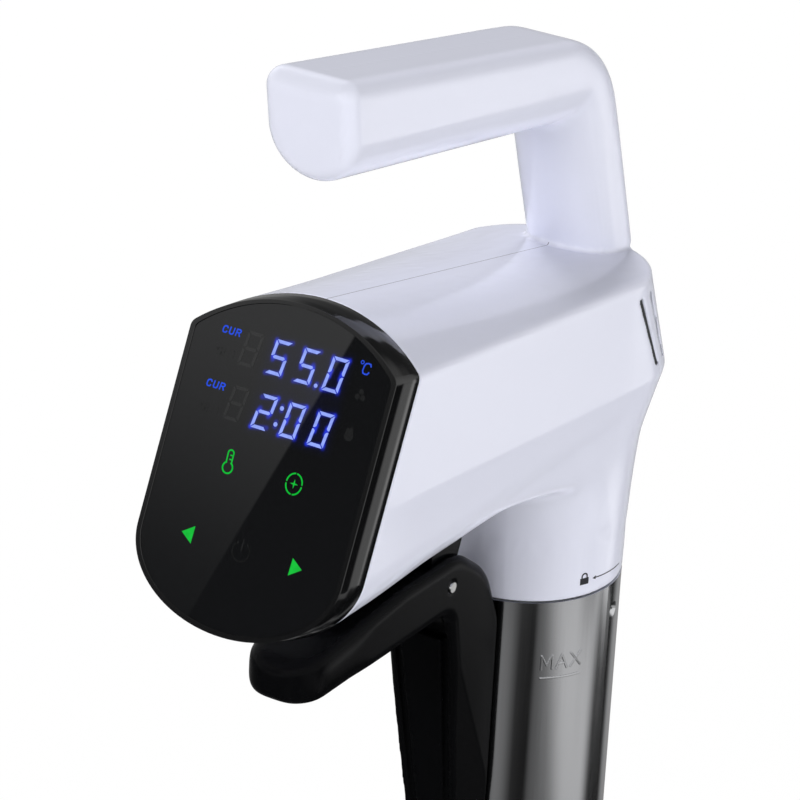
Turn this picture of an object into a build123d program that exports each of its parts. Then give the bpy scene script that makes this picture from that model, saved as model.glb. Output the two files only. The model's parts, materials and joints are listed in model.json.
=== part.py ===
from build123d import *
import math
import os

# Immersion circulator. Z is the tube axis, Z = 0 is the top rim of the steel sleeve, -Y is the
# display side. All sizes in millimetres.

# ---- driving sizes: tube ----
tubeRadius = 29.0
sleeveWall = 1.0
sleeveLength = 150.0
capLength = 34.0
collarWall = 2.6
collarDepth = 16.0
dimpleCount = 4
dimpleAngle = 8.6
dimpleRadius = 2.6
dimpleLevel = 9.2
twistAngle = 22.0

# ---- driving sizes: head ----
wall = 2.5
panelY = -150.3
panelZ = 59.4
panelLean = 23.7
panelHalf = 32.7
panelSide = 55.0
panelArch = 12.5
panelBottom = 22.8
bezelDepth = 9.7
bezelRise = 1.84
bezelDraft = 1.0
crownSlope = 0.184
edgeSlope = 0.115
rearHalf = tubeRadius + 1.4
rearEnd = 55.0
bellyLevel = 35.2
bellyRise = 20.6
cornerLevel = 60.5
cornerReach = tubeRadius + 13.5
cornerRadius = tubeRadius - 0.5
rearTopLevel = 112.0
rearTopReach = tubeRadius - 10.0
neckLow = 14.0
neckMid = 43.0
neckMidReach = tubeRadius + 5.6
neckLowReach = tubeRadius + 0.6
neckEdge = 0.6
edgeRound = 3.0
neckBlend = 6.0

# ---- driving sizes: handle ----
gripHalf = 13.8
gripEndY = -129.0
gripTopZ = 184.8
gripTopSlope = 0.173
gripLowZ = 155.4
gripLowSlope = 0.147
postFrontY = -7.6
postRearY = 18.3
postLevel = 130.0
footLevel = 94.0
postFrontLean = 0.34
postRearLean = 0.33
bendRadius = 34.0
gripRound = 5.0
gripEndRound = 4.5

# ---- driving sizes: display ----
rimWidth = 1.3
glassThick = 2.0
glassSink = 0.3
glassFit = 0.15
boardThick = 1.6
boardBehind = 7.0
moduleWidth = 44.4
moduleHeight = 24.0

# ---- driving sizes: pot clip ----
pivotY = -tubeRadius - 30.2
pivotZ = 17.6
pinRadius = 1.5
leverHalf = 11.5
leverWall = 3.0
jawHalfLow = 8.6
jawLow = -74.0
jawBackY = -tubeRadius - 1.6
jawFootY = -tubeRadius - 13.6
jawSlope = -0.192
clipSide = 0.35
tubeGap = 1.0
padThick = 2.6

# ---- driving sizes: drive and wet end ----
motorRadius = 19.0
motorLow = 42.0
motorHeight = 34.0
shaftRadius = 2.5
mastRadius = 6.0
mastWall = 1.2
impellerRadius = 17.0
impellerHeight = 9.0
fanRadius = 21.0
heaterRadius = 3.3
probeRadius = 2.0
runningFit = 0.05
seatFit = 0.15

# ---- driving sizes: joints, fasteners and small parts ----
ventWidth = 1.5
ventLow = 64.0
ventHigh = 88.5
ventLean = 0.55
ventCount = 8
ventFirst = 6.0
ventPitch = 11.2
screwBoss = 4.2
screwShank = 1.5
screwHead = 3.1
screwHeadHeight = 2.2
screwReach = 7.0
bracketBoss = 3.4
smallShank = 1.1
smallHead = 2.2
boardBoss = 3.2
boardX = -15.0
bezelWall = 3.6
lipDepth = 4.0
lipThick = 1.6
touchRadius = 5.0
inletLevel = 30.0
inletRadius = 6.0
inletBore = 3.6
flangeRadius = inletRadius + 2
couplingMiddle = 22.0
fanLevel = 80.0
impellerDrop = 12.0
flangeThick = 2.0
heaterSpacing = 17.0
heaterOffset = 15.0
probeOffset = 18.0
terminalRise = 5.0
seamGap = 0.3
grooveDepth = 2.2
capWall = 2.2
capEdge = 0.7
slotCount = 12
slotWidth = 4.6
bracketHigh = 31.9
bracketFront = pivotY - 40.8
earRadius = 6.4
rimStop = -14.0
rimReach = 15.2
springHalf = 4.6
springRadius = 3.4
leverRound = 3.0
armTip = pivotY - 73.8
tipRound = 10.5
armEnd = pivotY - 12.8
webTop = -1.5
grooveInset = 2.4
grooveWidth = 2.0
padHalf = 6.0

os.makedirs("parts", exist_ok=True)
made = {}


def keep(name, shape):
    made[name] = shape


def solidOf(shapes):
    shapes = list(shapes)
    total = shapes[0]
    for other in shapes[1:]:
        total = total + other
    return total


def rod(radius, start, end):
    axis = Vector(*end) - Vector(*start)
    plane = Plane(origin=start, z_dir=axis.normalized())
    return extrude(plane * Circle(radius), axis.length)


def pipe(outer, inner, start, end):
    return rod(outer, start, end) - rod(inner, start, end)


def brick(xs, ys, zs):
    size = [xs[1] - xs[0], ys[1] - ys[0], zs[1] - zs[0]]
    middle = ((xs[0] + xs[1]) / 2, (ys[0] + ys[1]) / 2, (zs[0] + zs[1]) / 2)
    return Pos(*middle) * Box(*size)


def sideSlab(points, half, x0=0.0):
    """Solid from a closed outline of (y, z) points, extruded both ways along X."""
    wire = Polyline(*[(x0, y, z) for y, z in points], close=True)
    return extrude(make_face(wire), half, dir=(1, 0, 0), both=True)


# ---- head ----

lean = math.radians(panelLean)
panelUp = Vector(0, math.sin(lean), math.cos(lean))
panelIn = Vector(0, math.cos(lean), -math.sin(lean))
panelPoint = Vector(0, panelY, panelZ)


def panelPlane(depth):
    """Plane parallel to the display, this far behind its face. Local Y runs up the display."""
    shift = panelIn * depth + panelUp * (bezelRise * depth / bezelDepth)
    return Plane(origin=panelPoint + shift, x_dir=(1, 0, 0), z_dir=panelIn * -1)


def shieldWire(plane, half, side, arch, bottom):
    """Arched top, straight sides, half-elliptical bottom."""
    left = (-half, 0)
    right = (half, 0)
    top = ThreePointArc((half, side), (0, side + arch), (-half, side))
    sides = [Line(right, (half, side)), Line((-half, side), left)]
    belly = EllipticalCenterArc((0, 0), half, bottom, 180, arc_size=180)
    return plane * Wire([sides[0], top, sides[1], belly])


def displayFace(depth, inset):
    plane = panelPlane(depth)
    wire = shieldWire(plane, panelHalf - inset, panelSide - inset / 2,
                      panelArch - inset / 4, panelBottom - inset)
    return make_face(wire)


def roundedFace(depth, inset):
    """The display's outline with its two top corners rounded."""
    face = displayFace(depth, inset)
    return fillet(face.vertices().sort_by(Axis.Z)[-2:], edgeRound)


def crownAt(y):
    start = panelPoint + panelIn * bezelDepth + panelUp * (bezelRise + panelSide + panelArch)
    return start.Z - crownSlope * (y - start.Y)


def edgeAt(y):
    start = panelPoint + panelIn * bezelDepth + panelUp * (bezelRise + panelSide)
    return start.Z - edgeSlope * (y - start.Y)


def barrelFace(y, inset):
    plane = Plane(origin=(0, y, bellyLevel + bellyRise), x_dir=(1, 0, 0), z_dir=(0, -1, 0))
    side = edgeAt(y) - bellyLevel - bellyRise
    wire = shieldWire(plane, rearHalf - inset, side - inset / 2,
                      crownAt(y) - edgeAt(y) - inset / 4, bellyRise - inset)
    return make_face(wire)


def barrel(inset):
    """The long head: from the bezel's back over the neck and past the rear, inset evenly."""
    sections = [displayFace(bezelDepth, inset), barrelFace(0, inset), barrelFace(rearEnd, inset)]
    solid = loft(sections, ruled=True)
    shoulder = [e for e in solid.edges() if abs(e.tangent_at(0.5).Y) > 0.9 and (e @ 0.5).Z > 80]
    return fillet(shoulder, edgeRound)


def stackFace(level, half, front, rear, radius):
    """Rounded rectangle at this height, from Y = front to Y = rear."""
    depth = rear - front
    corner = min(radius, half - 0.05, depth / 2 - 0.05)
    return Pos(0, (front + rear) / 2, level) * RectangleRounded(2 * half, depth, corner)


def neckStack(inset):
    r = tubeRadius - inset
    reach = cornerReach - inset
    edge = neckEdge if inset == 0 else 0.0
    low = stackFace(seamGap + edge, r, -r, r, r)
    first = stackFace(neckLow, r, -r, neckLowReach - inset, r)
    mid = stackFace(neckMid, rearHalf - 0.5 - inset, -r, neckMidReach - inset, cornerRadius + 3 - inset)
    high = stackFace(cornerLevel, rearHalf - inset, -r, reach, cornerRadius - inset)
    lower = loft([low, first], ruled=True)
    if edge > 0:
        rim = stackFace(seamGap, r - edge, edge - r, r - edge, r)
        lower = lower + loft([rim, low], ruled=True)
    middle = loft([first, mid], ruled=True)
    upper = loft([mid, high], ruled=True)
    return lower + middle + upper


def rearStack(inset):
    r = tubeRadius - inset
    reach = cornerReach - inset
    low = stackFace(cornerLevel, rearHalf - inset, -r, reach, cornerRadius - inset)
    top = stackFace(rearTopLevel, rearHalf - inset, -r, rearTopReach - inset, cornerRadius - inset)
    return loft([low, top], ruled=True)


def headSolid(inset):
    whole = barrel(inset)
    front = whole & brick((-60, 60), (-220, 0), (-20, 200))
    rear = whole & rearStack(inset)
    solid = front + rear + neckStack(inset)
    if inset > 0:
        return solid
    underLip = [e for e in solid.edges() if isUnderLip(e)]
    return fillet(underLip, neckBlend)


def isUnderLip(edge):
    """The concave joint between the belly of the head and the neck."""
    middle = edge @ 0.5
    inside = bellyLevel < middle.Z < bellyLevel + bellyRise - 4 and -tubeRadius < middle.Y < -4
    return inside and edge.geom_type == GeomType.BSPLINE


# ---- handle ----

def gripTop(y):
    return gripTopZ - gripTopSlope * (y - gripEndY)


def gripLow(y):
    return gripLowZ - gripLowSlope * (y - gripEndY)


def postFront(z):
    return postFrontY - postFrontLean * (z - postLevel)


def postRear(z):
    return postRearY - postRearLean * (z - postLevel)


def crossing(line, post):
    """Where a grip line z(y) meets a post line y(z)."""
    y = 0.0
    for _ in range(40):
        y = post(line(y))
    return y, line(y)



def handleProfile(inset):
    """Side outline of the hook with its outer bend, then its long outer edges rounded."""
    tilt = gripTopSlope * (gripTopZ - gripLowZ)
    outer = crossing(gripTop, postRear)
    inner = crossing(gripLow, postFront)
    points = [(gripEndY, gripTop(gripEndY)), outer, (postRear(footLevel), footLevel),
              (postFront(footLevel), footLevel), inner, (gripEndY + tilt, gripLow(gripEndY + tilt))]
    face = make_face(Polyline(*[(0, y, z) for y, z in points], close=True))
    corner = [v for v in face.vertices() if abs(v.Y - outer[0]) < 0.01 and abs(v.Z - outer[1]) < 0.01]
    face = fillet(corner, bendRadius)
    if inset:
        face = offset(face, -inset, kind=Kind.INTERSECTION)
    return extrude(face, gripHalf - inset, dir=(1, 0, 0), both=True)


def roundedPrism(point, direction, outward, inset, length):
    """Prism with a half-round near side: radius gripHalf, long straight sides running outward."""
    radius = gripHalf - inset
    reach = 70.0
    start = Vector(0, *point) + Vector(0, *outward) * inset
    plane = Plane(origin=start, x_dir=(1, 0, 0), z_dir=(0, *direction))
    sign = 1 if plane.y_dir.dot(Vector(0, *outward)) > 0 else -1
    disc = Pos(0, sign * radius) * Circle(radius)
    slab = Pos(0, sign * (radius + reach / 2)) * Rectangle(2 * radius, reach)
    return extrude(plane * (disc + slab), length)


def handleSolid(inset):
    gripDir = Vector(0, 1, -gripLowSlope).normalized()
    gripOut = Vector(0, gripLowSlope, 1).normalized()
    postDir = Vector(0, -postFrontLean, 1).normalized()
    postOut = Vector(0, 1, postFrontLean).normalized()
    inner = crossing(gripLow, postFront)
    start = (gripEndY - 20, gripLow(gripEndY - 20))
    base = (postFront(footLevel - 20), footLevel - 20)
    spanGrip = inner[0] - start[0] + 45
    spanPost = inner[1] - base[1] + 45
    grip = roundedPrism(start, (gripDir.Y, gripDir.Z), (gripOut.Y, gripOut.Z), inset, spanGrip)
    post = roundedPrism(base, (postDir.Y, postDir.Z), (postOut.Y, postOut.Z), inset, spanPost)
    shell = handleProfile(inset)
    long = [e for e in shell.edges() if isOuterEdge(e, inset)]
    solid = fillet(long, gripRound - inset) & (grip + post)
    if inset > 0:
        return solid
    nose = [e for e in solid.edges() if all(v.Y < gripEndY + 6.5 for v in e.vertices())]
    return fillet(nose, gripEndRound)


def isOuterEdge(edge, inset):
    """Long edges on the outer side of the hook: the top, the bend and the rear."""
    middle = edge @ 0.5
    flat = abs(abs(middle.X) - gripHalf + inset) < 0.01 and abs(edge.tangent_at(0.5).X) < 0.01
    above = middle.Z > gripTop(middle.Y) - inset * 1.1 - 0.2
    behind = middle.Y > postRear(middle.Z) - inset * 1.1 - 0.2
    bend = middle.Z > gripLow(middle.Y) + 15 and middle.Y > postFront(middle.Z) + 15
    return flat and (above or behind or bend)


# ---- housing shells ----

def ventSlots():
    """Leaning cooling slots spaced evenly about the rear corners, cut level at both ends."""
    level = (ventLow + ventHigh) / 2
    slope = (cornerReach - rearTopReach) / (rearTopLevel - cornerLevel)
    centre = (0, cornerReach - cornerRadius - slope * (level - cornerLevel), level)
    plane = Plane(origin=centre, x_dir=(1, 0, 0), z_dir=(0, -ventLean, 1))
    band = brick((-60, 60), (-60, 80), (ventLow, ventHigh))
    slots = []
    for k in range(ventCount):
        angle = ventFirst + k * ventPitch
        for turn in (angle, 180 - angle):
            bar = Box(cornerRadius, ventWidth, 2 * (ventHigh - ventLow))
            slots.append(plane * Rot(0, 0, turn) * Pos(cornerRadius, 0, 0) * bar & band)
    return slots


def screwPosts():
    """Centres (y, z) of the screws that join the two shells."""
    return [(-118, 46), (-60, 96), (gripEndY + 16, gripLow(gripEndY) + 16), (-4, 140)]


def shellHalves(outerSolid, innerSolid):
    shell = outerSolid - innerSolid
    posts = [rod(screwBoss, (-60, y, z), (60, y, z)) for y, z in screwPosts()]
    posts += [rod(bracketBoss, (x, y, bellyLevel - 5), (x, y, bellyLevel + 10)) for x, y in bracketScrews()]
    posts += [rod(boardBoss, (-60, y, z), (boardX, y, z)) for y, z in boardScrews()]
    ledge = pipe(tubeRadius - 1, motorRadius + 4.5, (0, 0, motorLow - 7), (0, 0, motorLow - 3))
    shell = shell + (solidOf(posts) & outerSolid) + ledge
    shell = shell - solidOf(ventSlots())
    shell = shell - rod(inletRadius, inletStart(), inletEnd())
    shell = shell - rod(flangeRadius + seatFit, inletStart(), (0, neckRear(inletLevel) - 9.4, inletLevel))
    for y, z in screwPosts():
        shell = shell - rod(screwShank, (-60, y, z), (screwReach, y, z))
        shell = shell - rod(screwHead, (-60, y, z), (-screwReach, y, z))
    for x, y in bracketScrews():
        shell = shell - rod(screwShank, (x, y, bellyLevel - 5), (x, y, bellyLevel + 9))
    for y, z in boardScrews():
        shell = shell - rod(smallShank, (boardX - 7, y, z), (boardX, y, z))
    left = shell & brick((-60, 0), (-220, 80), (-20, 220))
    right = shell & brick((0, 60), (-220, 80), (-20, 220))
    return left, right


def neckRear(z):
    """Y of the neck's rear face between its low and middle sections."""
    share = (z - neckLow) / (neckMid - neckLow)
    return neckLowReach + share * (neckMidReach - neckLowReach)


def inletStart():
    return (0, neckRear(inletLevel) - 12, inletLevel)


def inletEnd():
    return (0, neckRear(inletLevel) + 20, inletLevel)


def screw(start, end, shank, headRadius, headHeight):
    """Pan-head screw: head at start, shank reaching end, with a cross recess."""
    axis = (Vector(*end) - Vector(*start)).normalized()
    plane = Plane(origin=start, z_dir=axis)
    length = (Vector(*end) - Vector(*start)).length
    body = extrude(plane * Circle(headRadius), headHeight) + extrude(plane * Circle(shank), length)
    arm = headRadius * 1.1
    cross = Box(arm, headRadius * 0.25, headHeight) + Box(headRadius * 0.25, arm, headHeight)
    return body - plane * cross


def shellScrews():
    screws = []
    for y, z in screwPosts():
        start = (-screwReach - screwHeadHeight, y, z)
        screws.append(screw(start, (screwReach - 0.5, y, z), screwShank, screwHead - seatFit, screwHeadHeight))
    return Compound(children=screws)


# ---- display ----

def onPanel(depth, x, up):
    """Point behind the display's face: x across, up along it."""
    return panelPlane(depth).from_local_coords(Vector(x, up, 0))


def panelSlab(depth, thick, inset):
    return extrude(roundedFace(depth, inset), thick, dir=tuple(panelIn))


def panelRod(radius, x, up, depth, length):
    """Rod square to the display, from this depth; all of one x and up share an axis."""
    start = onPanel(boardBehind, x, up) + panelIn * (depth - boardBehind)
    return rod(radius, tuple(start), tuple(start + panelIn * length))


def bezel():
    body = loft([roundedFace(0, bezelDraft), roundedFace(bezelDepth, 0)], ruled=True)
    pocket = roundedFace(glassSink, bezelDraft + rimWidth)
    body = body - extrude(pocket, glassThick, dir=tuple(panelIn)) - extrude(pocket, 3, dir=tuple(panelIn * -1))
    body = body - loft([roundedFace(0, bezelWall), roundedFace(bezelDepth + 1, bezelWall)], ruled=True)
    lip = (barrel(wall + seatFit) - barrel(wall + lipThick)) & panelSlab(bezelDepth, lipDepth, -20)
    posts = []
    for x, up in panelScrews():
        posts.append(panelRod(boardBoss, x, up, glassThick + glassSink, boardBehind - glassThick - glassSink))
    body = body + (solidOf(posts) & panelSlab(0, bezelDepth, bezelDraft + rimWidth + 0.5)) + lip
    for x, up in panelScrews():
        body = body - panelRod(smallShank, x, up, glassThick + glassSink + 1, bezelDepth)
        body = body - panelRod(smallHead + seatFit, x, up, boardBehind + boardThick, lipDepth + 3)
    return body


def panelScrews():
    return [(x, up) for x in (-panelHalf + 6.4, panelHalf - 6.4) for up in (6.0, panelSide - 8)]


def touchSpots():
    """Centres of the touch keys on the display: x across, up along it."""
    return [(-15.8, 1.3), (16.4, 1.3), (0.0, 1.3), (-10.2, 22.0), (10.2, 22.0)]


def displayParts():
    back = glassThick + glassSink
    keep("bezel", bezel())
    keep("display_panel", panelSlab(glassSink, glassThick, bezelDraft + rimWidth + glassFit))
    board = panelSlab(boardBehind, boardThick, bezelWall + 0.6)
    for x, up in panelScrews():
        board = board - panelRod(smallShank + 0.1, x, up, boardBehind - 1, boardThick + 2)
    keep("display_board", board)
    plane = panelPlane((back + boardBehind) / 2)
    module = plane * Pos(0.6, 43.5, 0) * Box(moduleWidth, moduleHeight, boardBehind - back - 0.4)
    keep("display_module", module)
    springs = [panelRod(touchRadius, x, up, back, boardBehind - back) for x, up in touchSpots()]
    keep("touch_springs", Compound(children=springs))
    screws = []
    for x, up in panelScrews():
        start = onPanel(boardBehind, x, up) + panelIn * (boardThick + 1.4)
        end = start - panelIn * 6.5
        screws.append(screw(tuple(start), tuple(end), smallShank, smallHead, 1.4))
    keep("display_screws", Compound(children=screws))


# ---- control electronics ----

def boardScrews():
    return [(y, z) for y in (-112, -48) for z in (58, 88)]


def controlParts():
    face = boardX + boardThick
    board = brick((boardX, face), (-118, -42), (53, 91))
    screws = []
    for y, z in boardScrews():
        board = board - rod(smallShank + 0.1, (boardX - 1, y, z), (face + 1, y, z))
        screws.append(screw((face + 1.4, y, z), (boardX - 6, y, z), smallShank, smallHead, 1.4))
    keep("control_board", board)
    keep("board_screws", Compound(children=screws))
    keep("transformer", brick((face, face + 17), (-106, -84), (66, 86)) + brick((face, face + 13), (-108, -82), (70, 82)))
    keep("relay", brick((face, face + 15.5), (-78, -66), (64, 83)))
    keep("capacitors", Compound(children=[rod(r, (face, y, z), (face + h, y, z))
                                          for r, h, y, z in ((6.0, 20, -58, 82), (5.0, 14, -58, 68), (4.0, 11, -48, 73))]))
    fins = [brick((face, face + 12), (y, y + 1.2), (56, 61)) for y in (-78, -75, -72, -69, -66)]
    keep("heat_sink", solidOf(fins) + brick((face, face + 1.6), (-79, -64), (56, 61)))
    block = brick((face, face + 11), (-106, -92), (54.5, 61.5))
    for y in (-103, -99, -95):
        block = block - rod(1.2, (face + 5, y, 50), (face + 5, y, 66))
    keep("terminal_block", block)
    start = neckRear(inletLevel) - 12
    inlet = rod(inletRadius, (0, start, inletLevel), (0, inletFace(), inletLevel))
    flange = rod(flangeRadius, (0, start, inletLevel), (0, start + 2.4, inletLevel))
    bore = rod(inletBore, (0, start - 1, inletLevel), (0, inletFace() + 1, inletLevel))
    keep("cord_gland", inlet + flange - bore)


def inletFace():
    return neckRear(inletLevel + inletRadius) + 1.5


# ---- drive ----

def driveParts():
    top = motorLow + motorHeight
    can = rod(motorRadius, (0, 0, motorLow), (0, 0, top)) + rod(8, (0, 0, motorLow - 3), (0, 0, motorLow))
    can = can + rod(8, (0, 0, top), (0, 0, top + 2.5))
    keep("motor", can - rod(shaftRadius + runningFit, (0, 0, 0), (0, 0, 120)))
    plate = rod(tubeRadius - wall - 0.6, (0, 0, motorLow - 3), (0, 0, motorLow))
    plate = plate - rod(8, (0, 0, motorLow - 4), (0, 0, motorLow + 1))
    screws = []
    for sign in (-1, 1):
        plate = plate - rod(smallShank, (sign * 13, 0, motorLow - 4), (sign * 13, 0, motorLow + 1))
        start = (sign * 13, 0, motorLow - 4.6)
        screws.append(screw(start, (sign * 13, 0, motorLow), smallShank, smallHead + 0.5, 1.6))
    keep("motor_plate", plate)
    keep("motor_screws", Compound(children=screws))
    keep("motor_shaft", rod(shaftRadius, (0, 0, couplingMiddle + 0.2), (0, 0, fanLevel + 8)))
    low = -sleeveLength - capLength + 6
    keep("impeller_shaft", rod(shaftRadius, (0, 0, low), (0, 0, couplingMiddle - 0.2)))
    ends = (couplingMiddle - 9, couplingMiddle + 9)
    keep("shaft_coupling", pipe(6.5, shaftRadius, (0, 0, ends[0]), (0, 0, ends[1])))
    keep("fan_wheel", bladeWheel(fanRadius, 6, 7, fanLevel, 7, 38, 7))
    level = -sleeveLength - impellerDrop - impellerHeight
    keep("impeller", bladeWheel(impellerRadius, 6, 6, level, impellerHeight, 55, 5.0))


def bladeWheel(radius, hub, count, level, height, pitch, rootRadius):
    wheel = rod(rootRadius, (0, 0, level), (0, 0, level + height))
    blade = Box(radius - rootRadius + 1.5, height / math.sin(math.radians(pitch)) - 2.2, 1.2)
    place = Pos((radius + rootRadius - 1.5) / 2 - 0.6, 0, level + height / 2)
    for k in range(count):
        wheel = wheel + Rot(0, 0, 360 / count * k) * place * Rot(pitch, 0, 0) * blade
    limit = pipe(radius, 0.0001 + shaftRadius, (0, 0, level), (0, 0, level + height))
    return wheel & limit


# ---- wet end ----

def collar():
    """Ring under the neck whose grooves hold the sleeve's dimples."""
    outerRadius = tubeRadius - sleeveWall - clipSide
    ring = rod(outerRadius, (0, 0, -collarDepth), (0, 0, seamGap))
    ring = ring + rod(tubeRadius - wall - seatFit, (0, 0, 0), (0, 0, 9))
    ring = ring - rod(outerRadius - collarWall - 1.2, (0, 0, -collarDepth - 1), (0, 0, 10))
    for k in range(dimpleCount):
        x, y = flangeScrew(k)
        ring = ring - rod(smallShank, (x, y, -collarDepth - 1), (x, y, -collarDepth + 8))
        start = dimpleAngle + 360 / dimpleCount * k
        ring = ring - grooveSector(start - 8, start + twistAngle + 7, -dimpleLevel - 3.2, -dimpleLevel + 3.2)
        ring = ring - grooveSector(start + twistAngle - 7, start + twistAngle + 7, -collarDepth - 1, -dimpleLevel)
    return ring


def grooveSector(first, last, low, high):
    """Shallow groove round the collar between two angles and two heights."""
    band = pipe(tubeRadius + 2, tubeRadius - sleeveWall - clipSide - grooveDepth, (0, 0, low), (0, 0, high))
    middle = math.radians((first + last) / 2)
    half = math.radians((last - first) / 2)
    reach = tubeRadius * 1.6
    points = [(0, 0)]
    for turn in (-half, 0, half):
        points.append((reach * math.cos(middle + turn), reach * math.sin(middle + turn)))
    wedge = make_face(Polyline(*[(x, y, low - 1) for x, y in points], close=True))
    return band & extrude(wedge, high - low + 2, dir=(0, 0, 1))


def sleeve():
    low = -sleeveLength
    tube = pipe(tubeRadius, tubeRadius - sleeveWall, (0, 0, low), (0, 0, 0))
    for k in range(dimpleCount):
        angle = dimpleAngle + 360 / dimpleCount * k
        bump = rod(dimpleRadius, (tubeRadius - 2.3, 0, -dimpleLevel), (tubeRadius - 0.5, 0, -dimpleLevel))
        dent = Pos(tubeRadius + 1.7, 0, -dimpleLevel) * Sphere(dimpleRadius + 0.4)
        tube = tube + Rot(0, 0, angle) * bump
        tube = tube - Rot(0, 0, angle) * dent
    return tube


def bottomCap():
    top = -sleeveLength
    low = top - capLength
    cup = rod(tubeRadius, (0, 0, low), (0, 0, top))
    cup = chamfer([e for e in cup.edges() if abs((e @ 0).Z - top) < 0.01], capEdge)
    cup = cup - rod(tubeRadius - capWall, (0, 0, low + capWall), (0, 0, top + 1))
    spigot = pipe(tubeRadius - sleeveWall - seatFit, tubeRadius - sleeveWall - 2.2, (0, 0, top - 2), (0, 0, top + 7))
    cup = fillet([e for e in cup.edges() if abs((e @ 0).Z - low) < 0.01 and e.length > 170], 3) + spigot
    cup = cup + pipe(tubeRadius - capWall + 0.5, tubeRadius - capWall - 1.4, (0, 0, top - 3), (0, 0, top))
    for k in range(slotCount):
        turn = 360 / slotCount * k
        slot = Pos(tubeRadius, 0, top - capLength / 2 - 1) * Box(12, slotWidth, capLength - 16)
        cup = cup - Rot(0, 0, turn) * slot
        drain = Pos(tubeRadius * 0.55, 0, low) * Box(tubeRadius * 0.55, slotWidth * 0.8, 3 * capWall)
        cup = cup - Rot(0, 0, turn + 180 / slotCount) * drain
    return cup


def hairpin(y):
    """Tubular heater bent to a hairpin: two legs and a half-round end."""
    bend = -sleeveLength + 16
    leg = heaterSpacing / 2
    ring = Pos(0, y, bend) * Rot(90, 0, 0) * Torus(leg, heaterRadius)
    half = ring & brick((-60, 60), (-60, 60), (bend - 40, bend))
    legs = [rod(heaterRadius, (x, y, bend), (x, y, terminalRise)) for x in (-leg, leg)]
    return half + legs[0] + legs[1]



def wetParts():
    keep("bayonet_collar", collar())
    keep("sleeve", sleeve())
    keep("bottom_cap", bottomCap())
    low = -collarDepth - flangeThick
    keep("base_flange", flangePlate(low))
    seal = rod(mastRadius + 5, (0, 0, -collarDepth), (0, 0, -collarDepth + 6))
    keep("shaft_seal", seal - rod(shaftRadius + runningFit, (0, 0, -40), (0, 0, 10)))
    mastLow = -sleeveLength - 6
    keep("shaft_mast", pipe(mastRadius, mastRadius - mastWall, (0, 0, mastLow), (0, 0, low)))
    bush = pipe(mastRadius - mastWall, shaftRadius + runningFit, (0, 0, mastLow), (0, 0, mastLow + 12))
    keep("mast_bushing", bush)
    keep("heater_elements", Compound(children=[hairpin(y) for y in (-heaterOffset, heaterOffset)]))
    tip = -sleeveLength + 24
    probe = rod(probeRadius + 0.6, (probeOffset, 0, tip), (probeOffset, 0, 0))
    probe = fillet([e for e in probe.edges() if abs((e @ 0).Z - tip) < 0.01], 2.0)
    keep("temperature_probe", probe)
    rods = [rod(probeRadius, (-probeOffset, y, z), (-probeOffset, y, 0)) for y, z in ((-5, -34), (5, -112))]
    keep("level_probes", Compound(children=rods))
    screws = []
    for k in range(dimpleCount):
        x, y = flangeScrew(k)
        screws.append(screw((x, y, low - 1.8), (x, y, -collarDepth + 7), smallShank, smallHead, 1.8))
    keep("flange_screws", Compound(children=screws))
    keep("sleeve_seal", sealRing())


def flangeScrew(k):
    angle = math.radians(dimpleAngle + 56 + 360 / dimpleCount * k)
    radius = tubeRadius - sleeveWall - clipSide - collarWall - 0.1
    return radius * math.cos(angle), radius * math.sin(angle)


def flangePlate(low):
    plate = rod(tubeRadius - sleeveWall - 1.9, (0, 0, low), (0, 0, -collarDepth))
    plate = plate - rod(shaftRadius + 0.6, (0, 0, low - 1), (0, 0, 0))
    for y in (-heaterOffset, heaterOffset):
        for x in (-heaterSpacing / 2, heaterSpacing / 2):
            plate = plate - rod(heaterRadius, (x, y, low - 1), (x, y, 0))
    plate = plate - rod(probeRadius + 0.6, (probeOffset, 0, low - 1), (probeOffset, 0, 0))
    for y in (-5, 5):
        plate = plate - rod(probeRadius, (-probeOffset, y, low - 1), (-probeOffset, y, 0))
    for k in range(dimpleCount):
        x, y = flangeScrew(k)
        plate = plate - rod(smallShank, (x, y, low - 1), (x, y, 0))
    return plate


def sealRing():
    """Rubber ring between the flange and the collar's inner wall."""
    radius = tubeRadius - sleeveWall - clipSide - collarWall - 1.3
    return pipe(radius, radius - 2.0, (0, 0, -collarDepth), (0, 0, -collarDepth + 2.4))


# ---- pot clip ----

def bracketScrews():
    return [(x, y) for x in (-4.6, 4.6) for y in (bracketFront + 6, pivotY - earRadius - 10)]


def clampBracket(headOuter):
    """Fixed bracket under the head: a plate with pivot ears and a foot the pot's rim stops on."""
    half = leverHalf - leverWall - clipSide
    sleeveSide = -tubeRadius - tubeGap
    ears = pivotY + earRadius
    body = sideSlab([(bracketFront, bracketHigh), (bracketFront, bellyLevel + 4), (ears + 3, bellyLevel + 4),
                     (ears + 3, bracketHigh - 4), (ears, pivotZ + 3), (ears + 14, rimStop + 14),
                     (sleeveSide, rimStop + 5), (sleeveSide, rimStop), (sleeveSide - rimReach, rimStop),
                     (pivotY - earRadius, pivotZ), (pivotY - earRadius, bracketHigh)], half)
    body = body + rod(earRadius, (-half, pivotY, pivotZ), (half, pivotY, pivotZ))
    pocketTop = pivotZ + springRadius + 1.4
    body = body - brick((-springHalf, springHalf), (pivotY - 11, pivotY + 11), (pivotZ - 12, pocketTop))
    body = body - rod(pinRadius, (-20, pivotY, pivotZ), (20, pivotY, pivotZ))
    for x, y in bracketScrews():
        body = body - rod(screwShank, (x, y, 0), (x, y, 60))
        body = body - rod(smallHead + 0.7, (x, y, 0), (x, y, bracketHigh + 1.6))
    return body - headOuter - rod(tubeRadius + tubeGap, (0, 0, -40), (0, 0, 1))


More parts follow.
